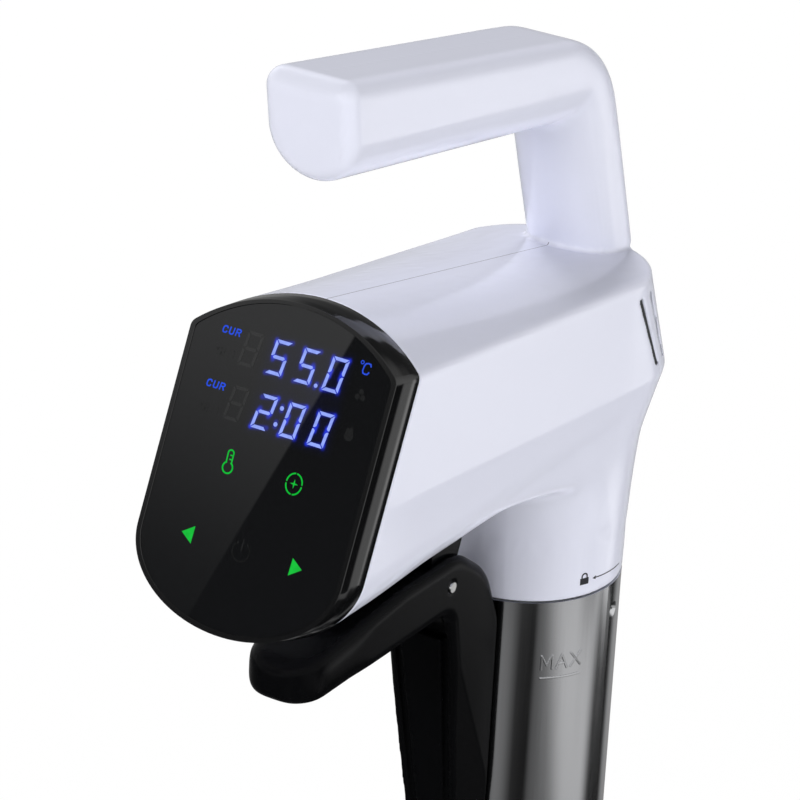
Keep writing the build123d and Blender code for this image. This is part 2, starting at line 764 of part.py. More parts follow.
def leverOutline():
    """Closed outline (y, z) of the lever: arm, tip, jaw and the dome over the pivot."""
    points = [(armTip, 21.0, 5.5), (armTip, 8.3, 4.0), (pivotY - 48.8, 8.7, 40), (jawFront(8.7), 8.7, 6),
              (jawFront(jawLow), jawLow, 4), (jawBackY, jawLow, 3), (jawBackY, -3, 14),
              (pivotY + 20.8, 14.9, 22), (pivotY + 5.0, 26.0, 20), (pivotY - 24.8, 26.2, 25)]
    face = make_face(Polyline(*[(0, y, z) for y, z, _ in points], close=True))
    for y, z, radius in points:
        corner = [v for v in face.vertices() if abs(v.Y - y) < 0.01 and abs(v.Z - z) < 0.01]
        face = fillet(corner, radius)
    return face


def jawFront(z):
    """Y of the jaw's front face at this height."""
    return jawFootY + jawSlope * (z - jawLow)


def lever():
    body = extrude(leverOutline(), leverHalf, dir=(1, 0, 0), both=True)
    plan = Pos(0, armTip + 100, 0) * RectangleRounded(2 * leverHalf, 200, tipRound)
    body = body & extrude(plan, 80, both=True)
    arm = [e for e in body.edges() if isArmEdge(e)]
    body = fillet(arm, leverRound)
    for sign in (-1, 1):
        body = body - taperWedge(sign)
    inner = leverHalf - leverWall
    gap = sideSlab([(armEnd, 60), (armEnd, webTop), (jawFront(webTop) + leverWall, webTop),
                    (jawFront(jawLow) + leverWall, jawLow - 5), (-10, jawLow - 5), (-10, 60)], inner)
    foot = sideSlab([(jawFront(jawLow) + 2, jawLow + 0.1), (padBack(), jawLow + 0.1), (padBack(), jawLow + 14),
                     (jawFront(jawLow + 14) + 2, jawLow + 14)], inner - 2.4)
    belowArm = sideSlab([(armTip + 14, 0), (armTip + 14, 17), (armTip + 47, 21.5), (armEnd - 4, 21.5),
                         (armEnd - 4, 0)], inner)
    body = body - gap - belowArm + (foot & body)
    body = body + foot
    for sign in (-1, 1):
        body = body - faceGroove(sign)
        bore = rod(pinRadius + runningFit, (sign * 5, pivotY, pivotZ), (sign * 20, pivotY, pivotZ))
        body = body - bore
    return body


def isArmEdge(edge):
    """Edges along the top and bottom of the arm and round its tip."""
    middle = edge @ 0.5
    upright = abs(edge.tangent_at(0.5).Z) > 0.9
    return middle.Y < armEnd - 8 and abs(middle.X) > 0.5 and not upright


def padBack():
    return jawBackY - 1.2


def taperWedge(sign):
    """Slab that narrows the jaw towards its front and its foot."""
    top = Vector(sign * leverHalf, jawFront(0), 0)
    rear = Vector(sign * leverHalf, jawBackY, -60)
    front = Vector(sign * jawHalfLow, jawFront(-60), -60)
    normal = (rear - top).cross(front - top).normalized()
    if normal.X * sign < 0:
        normal = normal * -1
    plane = Plane(origin=top, x_dir=(rear - top).normalized(), z_dir=normal)
    slab = plane * Pos(0, 0, 10) * Box(300, 300, 20)
    return slab & brick((-40, 40), (-80, -20), (jawLow - 5, 9))


def faceGroove(sign):
    """Upright groove on the jaw's front, beside its cheek."""
    low = jawLow + 2
    high = webTop + 3
    lowX = jawHalfLow - grooveInset
    highX = leverHalf - grooveInset
    points = [(lowX, low), (lowX - grooveWidth, low), (highX - grooveWidth, high), (highX, high)]
    face = make_face(Polyline(*[(sign * x, -80, z) for x, z in points], close=True))
    bar = extrude(face, 60, dir=(0, 1, 0))
    depth = sideSlab([(jawFront(low) + 1.6, low - 3), (-90, low - 3), (-90, high + 3), (jawFront(high) + 1.6, high + 3)], 30)
    return bar & depth


def clipParts(headOuter):
    keep("clamp_bracket", clampBracket(headOuter))
    keep("clamp_lever", lever())
    pad = brick((-padHalf, padHalf), (padBack(), -tubeRadius - tubeGap), (jawLow + 1.5, jawLow + 13))
    keep("jaw_pad", fillet([e for e in pad.edges() if abs((e @ 0.5).Y + tubeRadius + tubeGap) < 0.01], 0.5))
    pin = rod(pinRadius, (-leverHalf - 0.4, pivotY, pivotZ), (leverHalf + 0.4, pivotY, pivotZ))
    keep("pivot_pin", pin)
    coil = pipe(springRadius, pinRadius + 0.3, (-springHalf + 0.2, pivotY, pivotZ), (springHalf - 0.2, pivotY, pivotZ))
    legs = brick((-0.6, 0.6), (pivotY, pivotY + 9), (pivotZ + springRadius - 1.1, pivotZ + springRadius + 0.1))
    legs = legs + brick((2.0, 3.2), (armEnd + 1.2, pivotY), (pivotZ + springRadius - 1.1, pivotZ + springRadius + 0.1))
    for k in range(3):
        x = -springHalf + 1.6 + k * 2.2
        coil = coil - pipe(springRadius + 1, springRadius - 0.45, (x, pivotY, pivotZ), (x + 0.3, pivotY, pivotZ))
    keep("torsion_spring", coil + legs)
    screws = []
    for x, y in bracketScrews():
        start = (x, y, bracketHigh)
        screws.append(screw(start, (x, y, bellyLevel + 8), screwShank, smallHead + 0.6, 1.6))
    keep("bracket_screws", Compound(children=screws))


# ---- assembly ----

headOuter = headSolid(0)
shellOuter = headOuter + handleSolid(0)
shellInner = headSolid(wall) + handleSolid(wall)
leftShell, rightShell = shellHalves(shellOuter, shellInner)
keep("housing_left", leftShell)
keep("housing_right", rightShell)
keep("housing_screws", shellScrews())
displayParts()
controlParts()
driveParts()
wetParts()
clipParts(headOuter)

for name, shape in made.items():
    export_step(shape, "parts/" + name + ".step")
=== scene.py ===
import json
import math

import bmesh
import bpy
from mathutils import Matrix, Vector


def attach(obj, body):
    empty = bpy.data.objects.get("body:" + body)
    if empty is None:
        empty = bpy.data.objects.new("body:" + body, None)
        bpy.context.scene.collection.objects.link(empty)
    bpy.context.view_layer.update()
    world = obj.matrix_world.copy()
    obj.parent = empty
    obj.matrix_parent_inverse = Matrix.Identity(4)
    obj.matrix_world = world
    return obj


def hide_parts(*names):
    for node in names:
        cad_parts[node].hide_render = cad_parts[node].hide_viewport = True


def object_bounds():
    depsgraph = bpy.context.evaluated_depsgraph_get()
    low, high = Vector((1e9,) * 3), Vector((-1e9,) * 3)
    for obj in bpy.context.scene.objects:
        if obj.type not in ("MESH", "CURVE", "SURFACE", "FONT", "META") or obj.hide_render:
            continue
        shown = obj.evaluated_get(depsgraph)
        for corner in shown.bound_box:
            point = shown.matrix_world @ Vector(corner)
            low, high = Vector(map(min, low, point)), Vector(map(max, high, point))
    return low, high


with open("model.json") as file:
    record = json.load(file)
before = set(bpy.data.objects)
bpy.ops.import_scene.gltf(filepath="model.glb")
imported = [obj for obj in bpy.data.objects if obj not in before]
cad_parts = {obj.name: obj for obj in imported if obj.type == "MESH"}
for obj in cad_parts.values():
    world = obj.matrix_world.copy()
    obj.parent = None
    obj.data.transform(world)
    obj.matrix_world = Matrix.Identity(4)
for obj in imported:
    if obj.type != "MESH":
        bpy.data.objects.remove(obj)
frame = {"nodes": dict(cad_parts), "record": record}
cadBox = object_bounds()
mm = 0.001


# node helpers

def addNode(tree, kind, inputs=None, **settings):
    node = tree.nodes.new(kind)
    for name, value in settings.items():
        setattr(node, name, value)
    for socket, value in (inputs or {}).items():
        if isinstance(value, bpy.types.NodeSocket):
            tree.links.new(value, node.inputs[socket])
        else:
            node.inputs[socket].default_value = value
    return node


def newGroup(name, takes, gives):
    tree = bpy.data.node_groups.new(name, "ShaderNodeTree")
    for label, kind, value in takes:
        tree.interface.new_socket(label, in_out="INPUT", socket_type=kind).default_value = value
    for label, kind in gives:
        tree.interface.new_socket(label, in_out="OUTPUT", socket_type=kind)
    return tree, addNode(tree, "NodeGroupInput").outputs, addNode(tree, "NodeGroupOutput").inputs


def useGroup(tree, group, **values):
    node = addNode(tree, "ShaderNodeGroup", node_tree=group)
    for label, value in values.items():
        socket = node.inputs[spaced(label)]
        if isinstance(value, bpy.types.NodeSocket):
            tree.links.new(value, socket)
        else:
            socket.default_value = value
    return node


def spaced(label):
    # camelCase to the socket's own words
    words = "".join(" " + c if c.isupper() else c for c in label)
    return " ".join(w.capitalize() for w in words.split())


def mathNode(tree, operation, a, b=0.0, c=0.0, clamp=False):
    node = addNode(tree, "ShaderNodeMath", {0: a, 1: b, 2: c}, operation=operation, use_clamp=clamp)
    return node.outputs[0]


def placeOn(tree):
    return addNode(tree, "ShaderNodeTexCoord").outputs["Object"]


def noiseNode(tree, place, scale, detail=2.0):
    node = addNode(tree, "ShaderNodeTexNoise", {"Vector": place, "Scale": scale, "Detail": detail})
    return node.outputs["Fac"]


def dotNode(tree, a, b):
    return addNode(tree, "ShaderNodeVectorMath", {0: a, 1: b}, operation="DOT_PRODUCT").outputs["Value"]


def scaleNode(tree, vector, share):
    return addNode(tree, "ShaderNodeVectorMath", {0: vector, 3: share}, operation="SCALE").outputs[0]


def smoothStep(tree, value, low, high, first=0.0, last=1.0):
    node = addNode(tree, "ShaderNodeMapRange", {"Value": value, "From Min": low, "From Max": high,
                                                "To Min": first, "To Max": last},
                   interpolation_type="SMOOTHSTEP")
    return node.outputs["Result"]


def mixColour(tree, factor, a, b):
    node = addNode(tree, "ShaderNodeMix", data_type="RGBA")
    for socket, value in ((node.inputs[0], factor), (node.inputs[6], a), (node.inputs[7], b)):
        if isinstance(value, bpy.types.NodeSocket):
            tree.links.new(value, socket)
        else:
            socket.default_value = value
    return node.outputs[2]


def rgb(red, green, blue):
    return (red, green, blue, 1.0)


def linkedPiece(name, bm, turnOut=False):
    if turnOut:
        bmesh.ops.recalc_face_normals(bm, faces=bm.faces)
    mesh = bpy.data.meshes.new(name)
    bm.to_mesh(mesh)
    bm.free()
    piece = bpy.data.objects.new(name, mesh)
    bpy.context.scene.collection.objects.link(piece)
    return piece


# shared effects

def mouldedSkinGroup():
    # slow drift of tone and gloss, and a fine skin height
    tree, taken, given = newGroup("mouldedSkin", [
        ("Colour", "NodeSocketColor", rgb(0.5, 0.5, 0.5)), ("Drift", "NodeSocketFloat", 0.03),
        ("Gloss", "NodeSocketFloat", 0.3), ("Gloss Drift", "NodeSocketFloat", 0.04),
        ("Grain", "NodeSocketFloat", 2500.0)],
        [("Colour", "NodeSocketColor"), ("Roughness", "NodeSocketFloat"), ("Height", "NodeSocketFloat")])
    place = placeOn(tree)
    slow = noiseNode(tree, place, 38.0, 3.0)
    fine = noiseNode(tree, place, taken["Grain"])
    lift = mathNode(tree, "MULTIPLY_ADD", mathNode(tree, "SUBTRACT", slow, 0.5), taken["Drift"], 1.0)
    mixed = mathNode(tree, "MULTIPLY_ADD", slow, 0.6, mathNode(tree, "MULTIPLY", fine, 0.4))
    blur = mathNode(tree, "SUBTRACT", mixed, 0.5)
    gloss = mathNode(tree, "MULTIPLY_ADD", blur, taken["Gloss Drift"], taken["Gloss"],
                     clamp=True)
    tree.links.new(scaleNode(tree, taken["Colour"], lift), given["Colour"])
    tree.links.new(gloss, given["Roughness"])
    tree.links.new(fine, given["Height"])
    return tree


def brushLinesGroup():
    # fine lines that run along Z, as brushing or drawing leaves them
    tree, taken, given = newGroup("brushLines", [
        ("Colour", "NodeSocketColor", rgb(0.6, 0.6, 0.6)), ("Contrast", "NodeSocketFloat", 0.1),
        ("Across", "NodeSocketFloat", 6000.0), ("Along", "NodeSocketFloat", 60.0),
        ("Gloss", "NodeSocketFloat", 0.22)],
        [("Colour", "NodeSocketColor"), ("Roughness", "NodeSocketFloat"), ("Height", "NodeSocketFloat")])
    place = placeOn(tree)
    across, along = taken["Across"], taken["Along"]
    stretch = addNode(tree, "ShaderNodeCombineXYZ", {0: across, 1: across, 2: along}).outputs[0]
    drawn = addNode(tree, "ShaderNodeVectorMath", {0: place, 1: stretch}, operation="MULTIPLY").outputs[0]
    lines = noiseNode(tree, drawn, 1.0, 4.0)
    cloud = noiseNode(tree, place, 45.0)
    mixed = mathNode(tree, "MULTIPLY_ADD", lines, 0.7, mathNode(tree, "MULTIPLY", cloud, 0.3))
    centred = mathNode(tree, "SUBTRACT", mixed, 0.5)
    lift = mathNode(tree, "MULTIPLY_ADD", centred, taken["Contrast"], 1.0)
    gloss = mathNode(tree, "MULTIPLY_ADD", centred, 0.12, taken["Gloss"], clamp=True)
    tree.links.new(scaleNode(tree, taken["Colour"], lift), given["Colour"])
    tree.links.new(gloss, given["Roughness"])
    tree.links.new(lines, given["Height"])
    return tree


def partingLineGroup():
    # the joint between the two shells, a dark hairline on the middle plane along the head's crown
    tree, taken, given = newGroup("partingLine", [
        ("Colour", "NodeSocketColor", rgb(0.8, 0.8, 0.8)),
        ("Line Colour", "NodeSocketColor", rgb(0.3, 0.3, 0.3)),
        ("Half Width", "NodeSocketFloat", 0.0001), ("Slope", "NodeSocketFloat", 0.2),
        ("Low", "NodeSocketFloat", 0.09), ("High", "NodeSocketFloat", 0.1)],
        [("Colour", "NodeSocketColor")])
    place = placeOn(tree)
    axes = addNode(tree, "ShaderNodeSeparateXYZ", {0: place})
    away = mathNode(tree, "DIVIDE", mathNode(tree, "ABSOLUTE", axes.outputs[0]), taken["Half Width"])
    level = mathNode(tree, "MULTIPLY_ADD", axes.outputs[1], taken["Slope"], axes.outputs[2])
    above = mathNode(tree, "GREATER_THAN", level, taken["Low"])
    below = mathNode(tree, "LESS_THAN", level, taken["High"])
    onCrown = mathNode(tree, "MULTIPLY", above, below)
    line = mathNode(tree, "MULTIPLY", smoothStep(tree, away, 0.5, 1.2, 1.0, 0.0), onCrown)
    drawn = mixColour(tree, line, taken["Colour"], taken["Line Colour"])
    tree.links.new(drawn, given["Colour"])
    return tree


# where the side band of a leaning frame rolls, swells and tucks, in mm behind its front edge
bandShape = {"roll": (0.05, 0.5), "shoulder": (1.8, 4.4), "shoulderTilt": 0.17, "tuck": (5.6, 9.2),
             "facing": (0.3, 0.6)}


def crownedBandGroup():
    # tilts the band's normal along the frame's axis, on faces that look away from that axis
    tree, taken, given = newGroup("crownedBand", [
        ("Axis", "NodeSocketVector", (0.0, 1.0, 0.0)), ("Front", "NodeSocketFloat", 0.0),
        ("Roll", "NodeSocketFloat", 1.2), ("Tuck", "NodeSocketFloat", 0.2)],
        [("Normal", "NodeSocketVector")])
    place = placeOn(tree)
    normal = addNode(tree, "ShaderNodeNewGeometry").outputs["Normal"]
    axis = taken["Axis"]
    depth = mathNode(tree, "SUBTRACT", dotNode(tree, place, axis), taken["Front"])
    depth = mathNode(tree, "MULTIPLY", depth, 1000.0)               # metres to mm
    facing = mathNode(tree, "ABSOLUTE", dotNode(tree, normal, axis))
    side = smoothStep(tree, facing, *bandShape["facing"], 1.0, 0.0)
    roll = smoothStep(tree, depth, *bandShape["roll"], 1.0, 0.0)
    shoulder = smoothStep(tree, depth, *bandShape["shoulder"], bandShape["shoulderTilt"], 0.0)
    tuck = smoothStep(tree, depth, *bandShape["tuck"])
    outward = mathNode(tree, "ADD", mathNode(tree, "MULTIPLY", roll, taken["Roll"]), shoulder)
    tilt = mathNode(tree, "SUBTRACT", outward, mathNode(tree, "MULTIPLY", tuck, taken["Tuck"]))
    pull = scaleNode(tree, axis, mathNode(tree, "MULTIPLY", tilt, side))
    bent = addNode(tree, "ShaderNodeVectorMath", {0: normal, 1: pull}, operation="SUBTRACT").outputs[0]
    final = addNode(tree, "ShaderNodeVectorMath", {0: bent}, operation="NORMALIZE").outputs[0]
    tree.links.new(final, given["Normal"])
    return tree


mouldedSkin = mouldedSkinGroup()
brushLines = brushLinesGroup()
partingLine = partingLineGroup()
crownedBand = crownedBandGroup()
print("shared effects ready")


# finishes

def startMaterial(name):
    material = bpy.data.materials.new(name)
    material.use_nodes = True
    tree = material.node_tree
    tree.nodes.clear()
    shader = addNode(tree, "ShaderNodeBsdfPrincipled")
    out = addNode(tree, "ShaderNodeOutputMaterial")
    tree.links.new(shader.outputs[0], out.inputs["Surface"])
    return material, tree, shader


def bumpInto(tree, shader, height, strength, distance, normal=None):
    bump = addNode(tree, "ShaderNodeBump", {"Height": height, "Strength": strength, "Distance": distance})
    if normal is not None:
        tree.links.new(normal, bump.inputs["Normal"])
    tree.links.new(bump.outputs[0], shader.inputs["Normal"])


def plasticMaterial(name, look):
    material, tree, shader = startMaterial(name)
    skin = useGroup(tree, mouldedSkin, colour=rgb(*look["colour"]), drift=look["drift"], gloss=look["gloss"],
                    glossDrift=look["glossDrift"], grain=look["grain"])
    colour = skin.outputs["Colour"]
    if "lineWidth" in look:
        line = useGroup(tree, partingLine, colour=colour, lineColour=rgb(*look["lineColour"]),
                        halfWidth=look["lineWidth"] * mm / 2, slope=look["lineSlope"],
                        low=look["lineLow"] * mm, high=look["lineHigh"] * mm)
        colour = line.outputs["Colour"]
    tree.links.new(colour, shader.inputs["Base Color"])
    tree.links.new(skin.outputs["Roughness"], shader.inputs["Roughness"])
    shader.inputs["IOR"].default_value = look.get("ior", 1.5)
    normal = None
    if "bandAxis" in look:
        band = useGroup(tree, crownedBand, axis=look["bandAxis"], front=look["bandFront"] * mm)
        normal = band.outputs["Normal"]
    bumpInto(tree, shader, skin.outputs["Height"], look["relief"], 0.02 * mm, normal)
    return material


def metalMaterial(name, look):
    material, tree, shader = startMaterial(name)
    lines = useGroup(tree, brushLines, colour=rgb(*look["colour"]), contrast=look["contrast"],
                     across=look["across"], along=look["along"], gloss=look["gloss"])
    shader.inputs["Metallic"].default_value = 1.0
    tree.links.new(lines.outputs["Colour"], shader.inputs["Base Color"])
    tree.links.new(lines.outputs["Roughness"], shader.inputs["Roughness"])
    bumpInto(tree, shader, lines.outputs["Height"], look["relief"], 0.01 * mm)
    return material


plasticWords = ("colour", "drift", "gloss", "glossDrift", "grain", "relief")
metalWords = ("colour", "contrast", "across", "along", "gloss", "relief")
plasticRows = {
    "white_housing": ((0.755, 0.769, 0.882), 0.012, 0.16, 0.04, 900.0, 0.02),
    "black_bezel": ((0.0025, 0.0026, 0.003), 0.1, 0.11, 0.02, 1200.0, 0.0),
    "display_glass": ((0.004, 0.0043, 0.005), 0.1, 0.003, 0.0, 900.0, 0.0),
    "circuit_board": ((0.03, 0.2, 0.09), 0.15, 0.35, 0.1, 3000.0, 0.1),
    "display_module": ((0.05, 0.05, 0.05), 0.1, 0.5, 0.1, 2500.0, 0.1),
    "transformer": ((0.55, 0.42, 0.1), 0.2, 0.4, 0.1, 1500.0, 0.2),
    "relay_case": ((0.04, 0.12, 0.35), 0.08, 0.3, 0.06, 2500.0, 0.1),
    "capacitor_can": ((0.16, 0.18, 0.26), 0.1, 0.3, 0.1, 1200.0, 0.05),
    "terminal_green": ((0.08, 0.35, 0.15), 0.1, 0.4, 0.08, 2500.0, 0.1),
    "black_rubber": ((0.012, 0.012, 0.012), 0.25, 0.62, 0.15, 3500.0, 0.35),
    "black_plastic": ((0.0025, 0.0026, 0.003), 0.15, 0.2, 0.05, 3200.0, 0.05),
    "grey_plastic": ((0.25, 0.26, 0.27), 0.08, 0.45, 0.1, 2600.0, 0.15),
    "fan_plastic": ((0.62, 0.62, 0.6), 0.06, 0.45, 0.1, 2600.0, 0.1),
    "seal_silicone": ((0.5, 0.13, 0.08), 0.12, 0.55, 0.1, 2200.0, 0.2),
    "bushing_plastic": ((0.74, 0.72, 0.66), 0.05, 0.4, 0.1, 2200.0, 0.1),
}
metalRows = {
    "tube_steel": ((0.62, 0.625, 0.64), 0.1, 2600.0, 40.0, 0.12, 0.05),
    "spring_steel": ((0.6, 0.6, 0.58), 0.1, 4000.0, 200.0, 0.25, 0.1),
    "zinc_screw": ((0.66, 0.66, 0.67), 0.12, 5000.0, 900.0, 0.24, 0.1),
    "aluminium_fin": ((0.74, 0.75, 0.76), 0.1, 3000.0, 80.0, 0.35, 0.1),
    "motor_can": ((0.52, 0.52, 0.52), 0.12, 2500.0, 70.0, 0.33, 0.1),
    "shaft_steel": ((0.7, 0.7, 0.7), 0.06, 4000.0, 90.0, 0.18, 0.05),
    "brass_coupling": ((0.72, 0.53, 0.24), 0.1, 900.0, 4000.0, 0.27, 0.1),
    "heater_steel": ((0.46, 0.45, 0.44), 0.16, 2600.0, 60.0, 0.36, 0.1),
}
plastics = {name: dict(zip(plasticWords, row)) for name, row in plasticRows.items()}
metals = {name: dict(zip(metalWords, row)) for name, row in metalRows.items()}
plastics["white_housing"].update(lineWidth=0.26, lineColour=(0.2, 0.2, 0.23), lineSlope=0.184,
                                 lineLow=94.0, lineHigh=98.9)
plastics["black_bezel"].update(ior=1.6, bandAxis=(0.0, 0.9157, -0.4019), bandFront=-161.5)
plastics["black_plastic"].update(ior=1.12)
finishes = {name: plasticMaterial(name, look) for name, look in plastics.items()}
finishes.update({name: metalMaterial(name, look) for name, look in metals.items()})

for part in frame["record"]["subparts"]:
    node = frame["nodes"][part["node"]]
    for place in node.material_slots:
        place.material = finishes[part["material_slot"]]
print("finishes on", len(frame["nodes"]), "nodes")


# small edge breaks on carried-over nodes, through modifiers only; widths in mm

edgeBreaks = {"clamp_bracket": 0.3, "jaw_pad": 0.2, "bottom_cap": 0.3, "cord_gland": 0.3,
              "pivot_pin": 0.25}


def softenEdges(node, width):
    weld = node.modifiers.new("joinSeams", "WELD")
    weld.merge_threshold = 0.002 * mm
    bevel = node.modifiers.new("edgeBreak", "BEVEL")
    bevel.width = width * mm
    bevel.segments = 2
    bevel.limit_method = "ANGLE"
    bevel.angle_limit = math.radians(32)
    bevel.use_clamp_overlap = True
    bevel.harden_normals = True


for nodeName, width in edgeBreaks.items():
    softenEdges(frame["nodes"][nodeName], width)
print("edges broken on", len(edgeBreaks), "nodes")


# softened mouldings: an even mesh from CAD nodes, relaxed where the mould blends one form into the next

def ramp(value, low, high):
    share = max(0.0, min(1.0, (value - low) / (high - low)))
    return share * share * (3 - 2 * share)


def bakeModifiers(piece):
    bpy.context.view_layer.update()
    graph = bpy.context.evaluated_depsgraph_get()
    mesh = bpy.data.meshes.new_from_object(piece.evaluated_get(graph))
    piece.modifiers.clear()
    piece.data = mesh


leastShare = 0.02        # below this share a point isn't relaxed at all


def relaxPiece(piece, factor, rounds, relaxAt, fillOnly):
    # smooths by share; fillOnly lets hollow corners fill and leaves every rounded form as it is
    before = [(vert.co.copy(), vert.normal.copy()) for vert in piece.data.vertices]
    group = piece.vertex_groups.new(name="relax")
    for vert in piece.data.vertices:
        share = relaxAt(*(vert.co / mm))
        if share > leastShare:
            group.add([vert.index], share, "REPLACE")
    relax = piece.modifiers.new("relax", "SMOOTH")
    relax.factor = factor
    relax.iterations = rounds
    relax.vertex_group = group.name
    bakeModifiers(piece)
    if fillOnly:
        for vert, (spot, normal) in zip(piece.data.vertices, before):
            vert.co = spot + normal * max(0.0, (vert.co - spot).dot(normal))


# a closed plug that carries the head's flat sides down into the round neck; sizes in mm
flare = {"low": 20.0, "turn": 32.5, "high": 60.0, "half": 29.2, "widen": 0.0275, "front": 28.9, "reach": 98.0,
         "bend": 1.33, "rear": 14.0, "square": 24.0, "squarer": 4, "levels": 20, "sides": 96}


def addFlare(bm):
    # each level is a rounded box, round at the foot and squarer with height
    rings = []
    for k in range(flare["levels"] + 1):
        z = flare["low"] + (flare["high"] - flare["low"]) * k / flare["levels"]
        half = flare["half"] + flare["widen"] * (z - flare["low"])
        front = flare["front"] + flare["reach"] * ramp(z, flare["turn"], flare["high"]) ** flare["bend"]
        power = 2 / (2 + flare["squarer"] * ((z - flare["low"]) / flare["square"]) ** 3)
        ring = []
        for j in range(flare["sides"]):
            turn = 2 * math.pi * j / flare["sides"]
            c, s = math.cos(turn), math.sin(turn)
            x = half * math.copysign(abs(c) ** power, c)
            y = (flare["rear"] if s > 0 else front) * math.copysign(abs(s) ** power, s)
            ring.append(bm.verts.new((x * mm, y * mm, z * mm)))
        rings.append(ring)
    for lower, upper in zip(rings, rings[1:]):
        for j in range(flare["sides"]):
            n = (j + 1) % flare["sides"]
            bm.faces.new([lower[j], lower[n], upper[n], upper[j]])
    bm.faces.new(list(reversed(rings[0])))
    bm.faces.new(rings[-1])


def relaxedSkin(name, nodes, look, body, relaxAt):
    bm = bmesh.new()
    for node in nodes:
        bm.from_mesh(frame["nodes"][node].data)
    if look["flared"]:
        addFlare(bm)
    piece = linkedPiece(name, bm)
    even = piece.modifiers.new("evenMesh", "REMESH")
    even.mode = "VOXEL"
    even.voxel_size = look["cell"] * mm
    bakeModifiers(piece)
    if look["fillRounds"]:
        relaxPiece(piece, look["factor"], look["fillRounds"], relaxAt, True)
    relaxPiece(piece, look["factor"], look["rounds"], relaxAt, False)
    for face in piece.data.polygons:
        face.use_smooth = True
    slots = {part["node"]: part["material_slot"] for part in frame["record"]["subparts"]}
    slotName = slots[nodes[0]]
    piece.data.materials.clear()
    piece.data.materials.append(finishes[slotName])
    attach(piece, body)
    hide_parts(*nodes)
    print(name, len(piece.data.vertices), "points")
    return piece


# the housing's skin: mesh cell, relaxing, where it acts (from none to full, in mm), and the side crease
housingSkin = {"cell": 0.7, "factor": 0.8, "fillRounds": 900, "rounds": 30, "flared": True,
               "neckFoot": (16, 30), "neckTop": (82, 66), "neckFront": (-84, -60), "neckBack": (40, 20),
               "ventFoot": (54, 61), "ventFront": (-6, 4),
               "cornerY": -8, "cornerZ": 142, "cornerSpan": (16, 28),
               "creaseLevel": 61.3, "creaseSlope": 0.099, "tuck": 0.1, "fade": 15.0, "halfWide": 30.4,
               "bezelLean": 0.44, "bezelFoot": (-112, -72), "tuckFoot": (4, 42), "tuckBack": (42, 12)}


def housingRelax(x, y, z):
    # full between belly and neck and inside the handle's corner, none at the vents
    skin = housingSkin
    vented = ramp(z, *skin["ventFoot"]) * ramp(y, *skin["ventFront"])
    neck = ramp(z, *skin["neckFoot"]) * ramp(z, *skin["neckTop"])
    neck *= ramp(y, *skin["neckFront"]) * ramp(y, *skin["neckBack"]) * (1 - vented)
    corner = 1 - ramp(math.hypot(y - skin["cornerY"], z - skin["cornerZ"]), *skin["cornerSpan"])
    return max(neck, corner)


def tuckBelly(piece):
    # a faint crease along each side, below which the wall leans in a little
    skin = housingSkin
    for vert in piece.data.vertices:
        x, y, z = vert.co / mm
        below = skin["creaseLevel"] - skin["creaseSlope"] * y - z
        if below <= 0:
            continue
        behindBezel = ramp(y + skin["bezelLean"] * z, *skin["bezelFoot"])
        share = behindBezel * ramp(z, *skin["tuckFoot"]) * ramp(y, *skin["tuckBack"])
        lean = skin["tuck"] * skin["fade"] * (1 - math.exp(-below / skin["fade"]))
        vert.co.x -= x * mm / skin["halfWide"] * lean * share


# the cooling slots, in mm and degrees about each rear corner
ventBars = {"radius": 28.5, "width": 1.7, "low": 64.0, "high": 88.5, "lean": 0.55, "centreY": 6.82,
            "count": 8, "first": 6.0, "pitch": 11.2, "sharpAbove": 50}


def cutVents(piece):
    # cuts the slots cleanly again, because the even mesh is too coarse for them
    centre = Vector((0, ventBars["centreY"], (ventBars["low"] + ventBars["high"]) / 2))
    rise = Vector((0, -ventBars["lean"], 1)).normalized()
    back = rise.cross(Vector((1, 0, 0)))
    tall = ventBars["high"] - ventBars["low"]
    bm = bmesh.new()
    for k in range(ventBars["count"]):
        angle = ventBars["first"] + k * ventBars["pitch"]
        for turn in (math.radians(angle), math.radians(180 - angle)):
            rings = []
            for level in (-tall / 2, tall / 2):
                ring = []
                for reach, side in ((0.5, -1), (1.5, -1), (1.5, 1), (0.5, 1)):
                    out, aside = ventBars["radius"] * reach, ventBars["width"] / 2 * side
                    a = out * math.cos(turn) - aside * math.sin(turn)
                    b = out * math.sin(turn) + aside * math.cos(turn)
                    c = max(-tall, min(tall, (level - b * back.z) / rise.z))
                    ring.append(bm.verts.new((centre + Vector((a, 0, 0)) + back * b + rise * c) * mm))
                rings.append(ring)
            lower, upper = rings
            bm.faces.new(lower)
            bm.faces.new(upper)
            for j in range(4):
                bm.faces.new([lower[j], lower[(j + 1) % 4], upper[(j + 1) % 4], upper[j]])
    bmesh.ops.recalc_face_normals(bm, faces=bm.faces)
    bmesh.ops.triangulate(bm, faces=bm.faces)
    bars = linkedPiece("ventBars", bm)
    cut = piece.modifiers.new("vents", "BOOLEAN")
    cut.operation = "DIFFERENCE"
    cut.solver = "EXACT"
    cut.object = bars
    bakeModifiers(piece)
    bpy.data.objects.remove(bars)
    for face in piece.data.polygons:
        face.use_smooth = True
    piece.data.set_sharp_from_angle(angle=math.radians(ventBars["sharpAbove"]))


leverSkin = {"cell": 0.55, "factor": 0.7, "fillRounds": 0, "rounds": 60, "flared": False,
             "nose": (-98, -112)}


def leverRelax(x, y, z):
    # only the lever's pressed end
    return ramp(y, *leverSkin["nose"])


shells = ("housing_left", "housing_right")
housingPiece = relaxedSkin("housingSkin", shells, housingSkin, "housing", housingRelax)
tuckBelly(housingPiece)
cutVents(housingPiece)
relaxedSkin("leverSkin", ("clamp_lever",), leverSkin, "clamp", leverRelax)
print("mouldings softened")


# display graphics

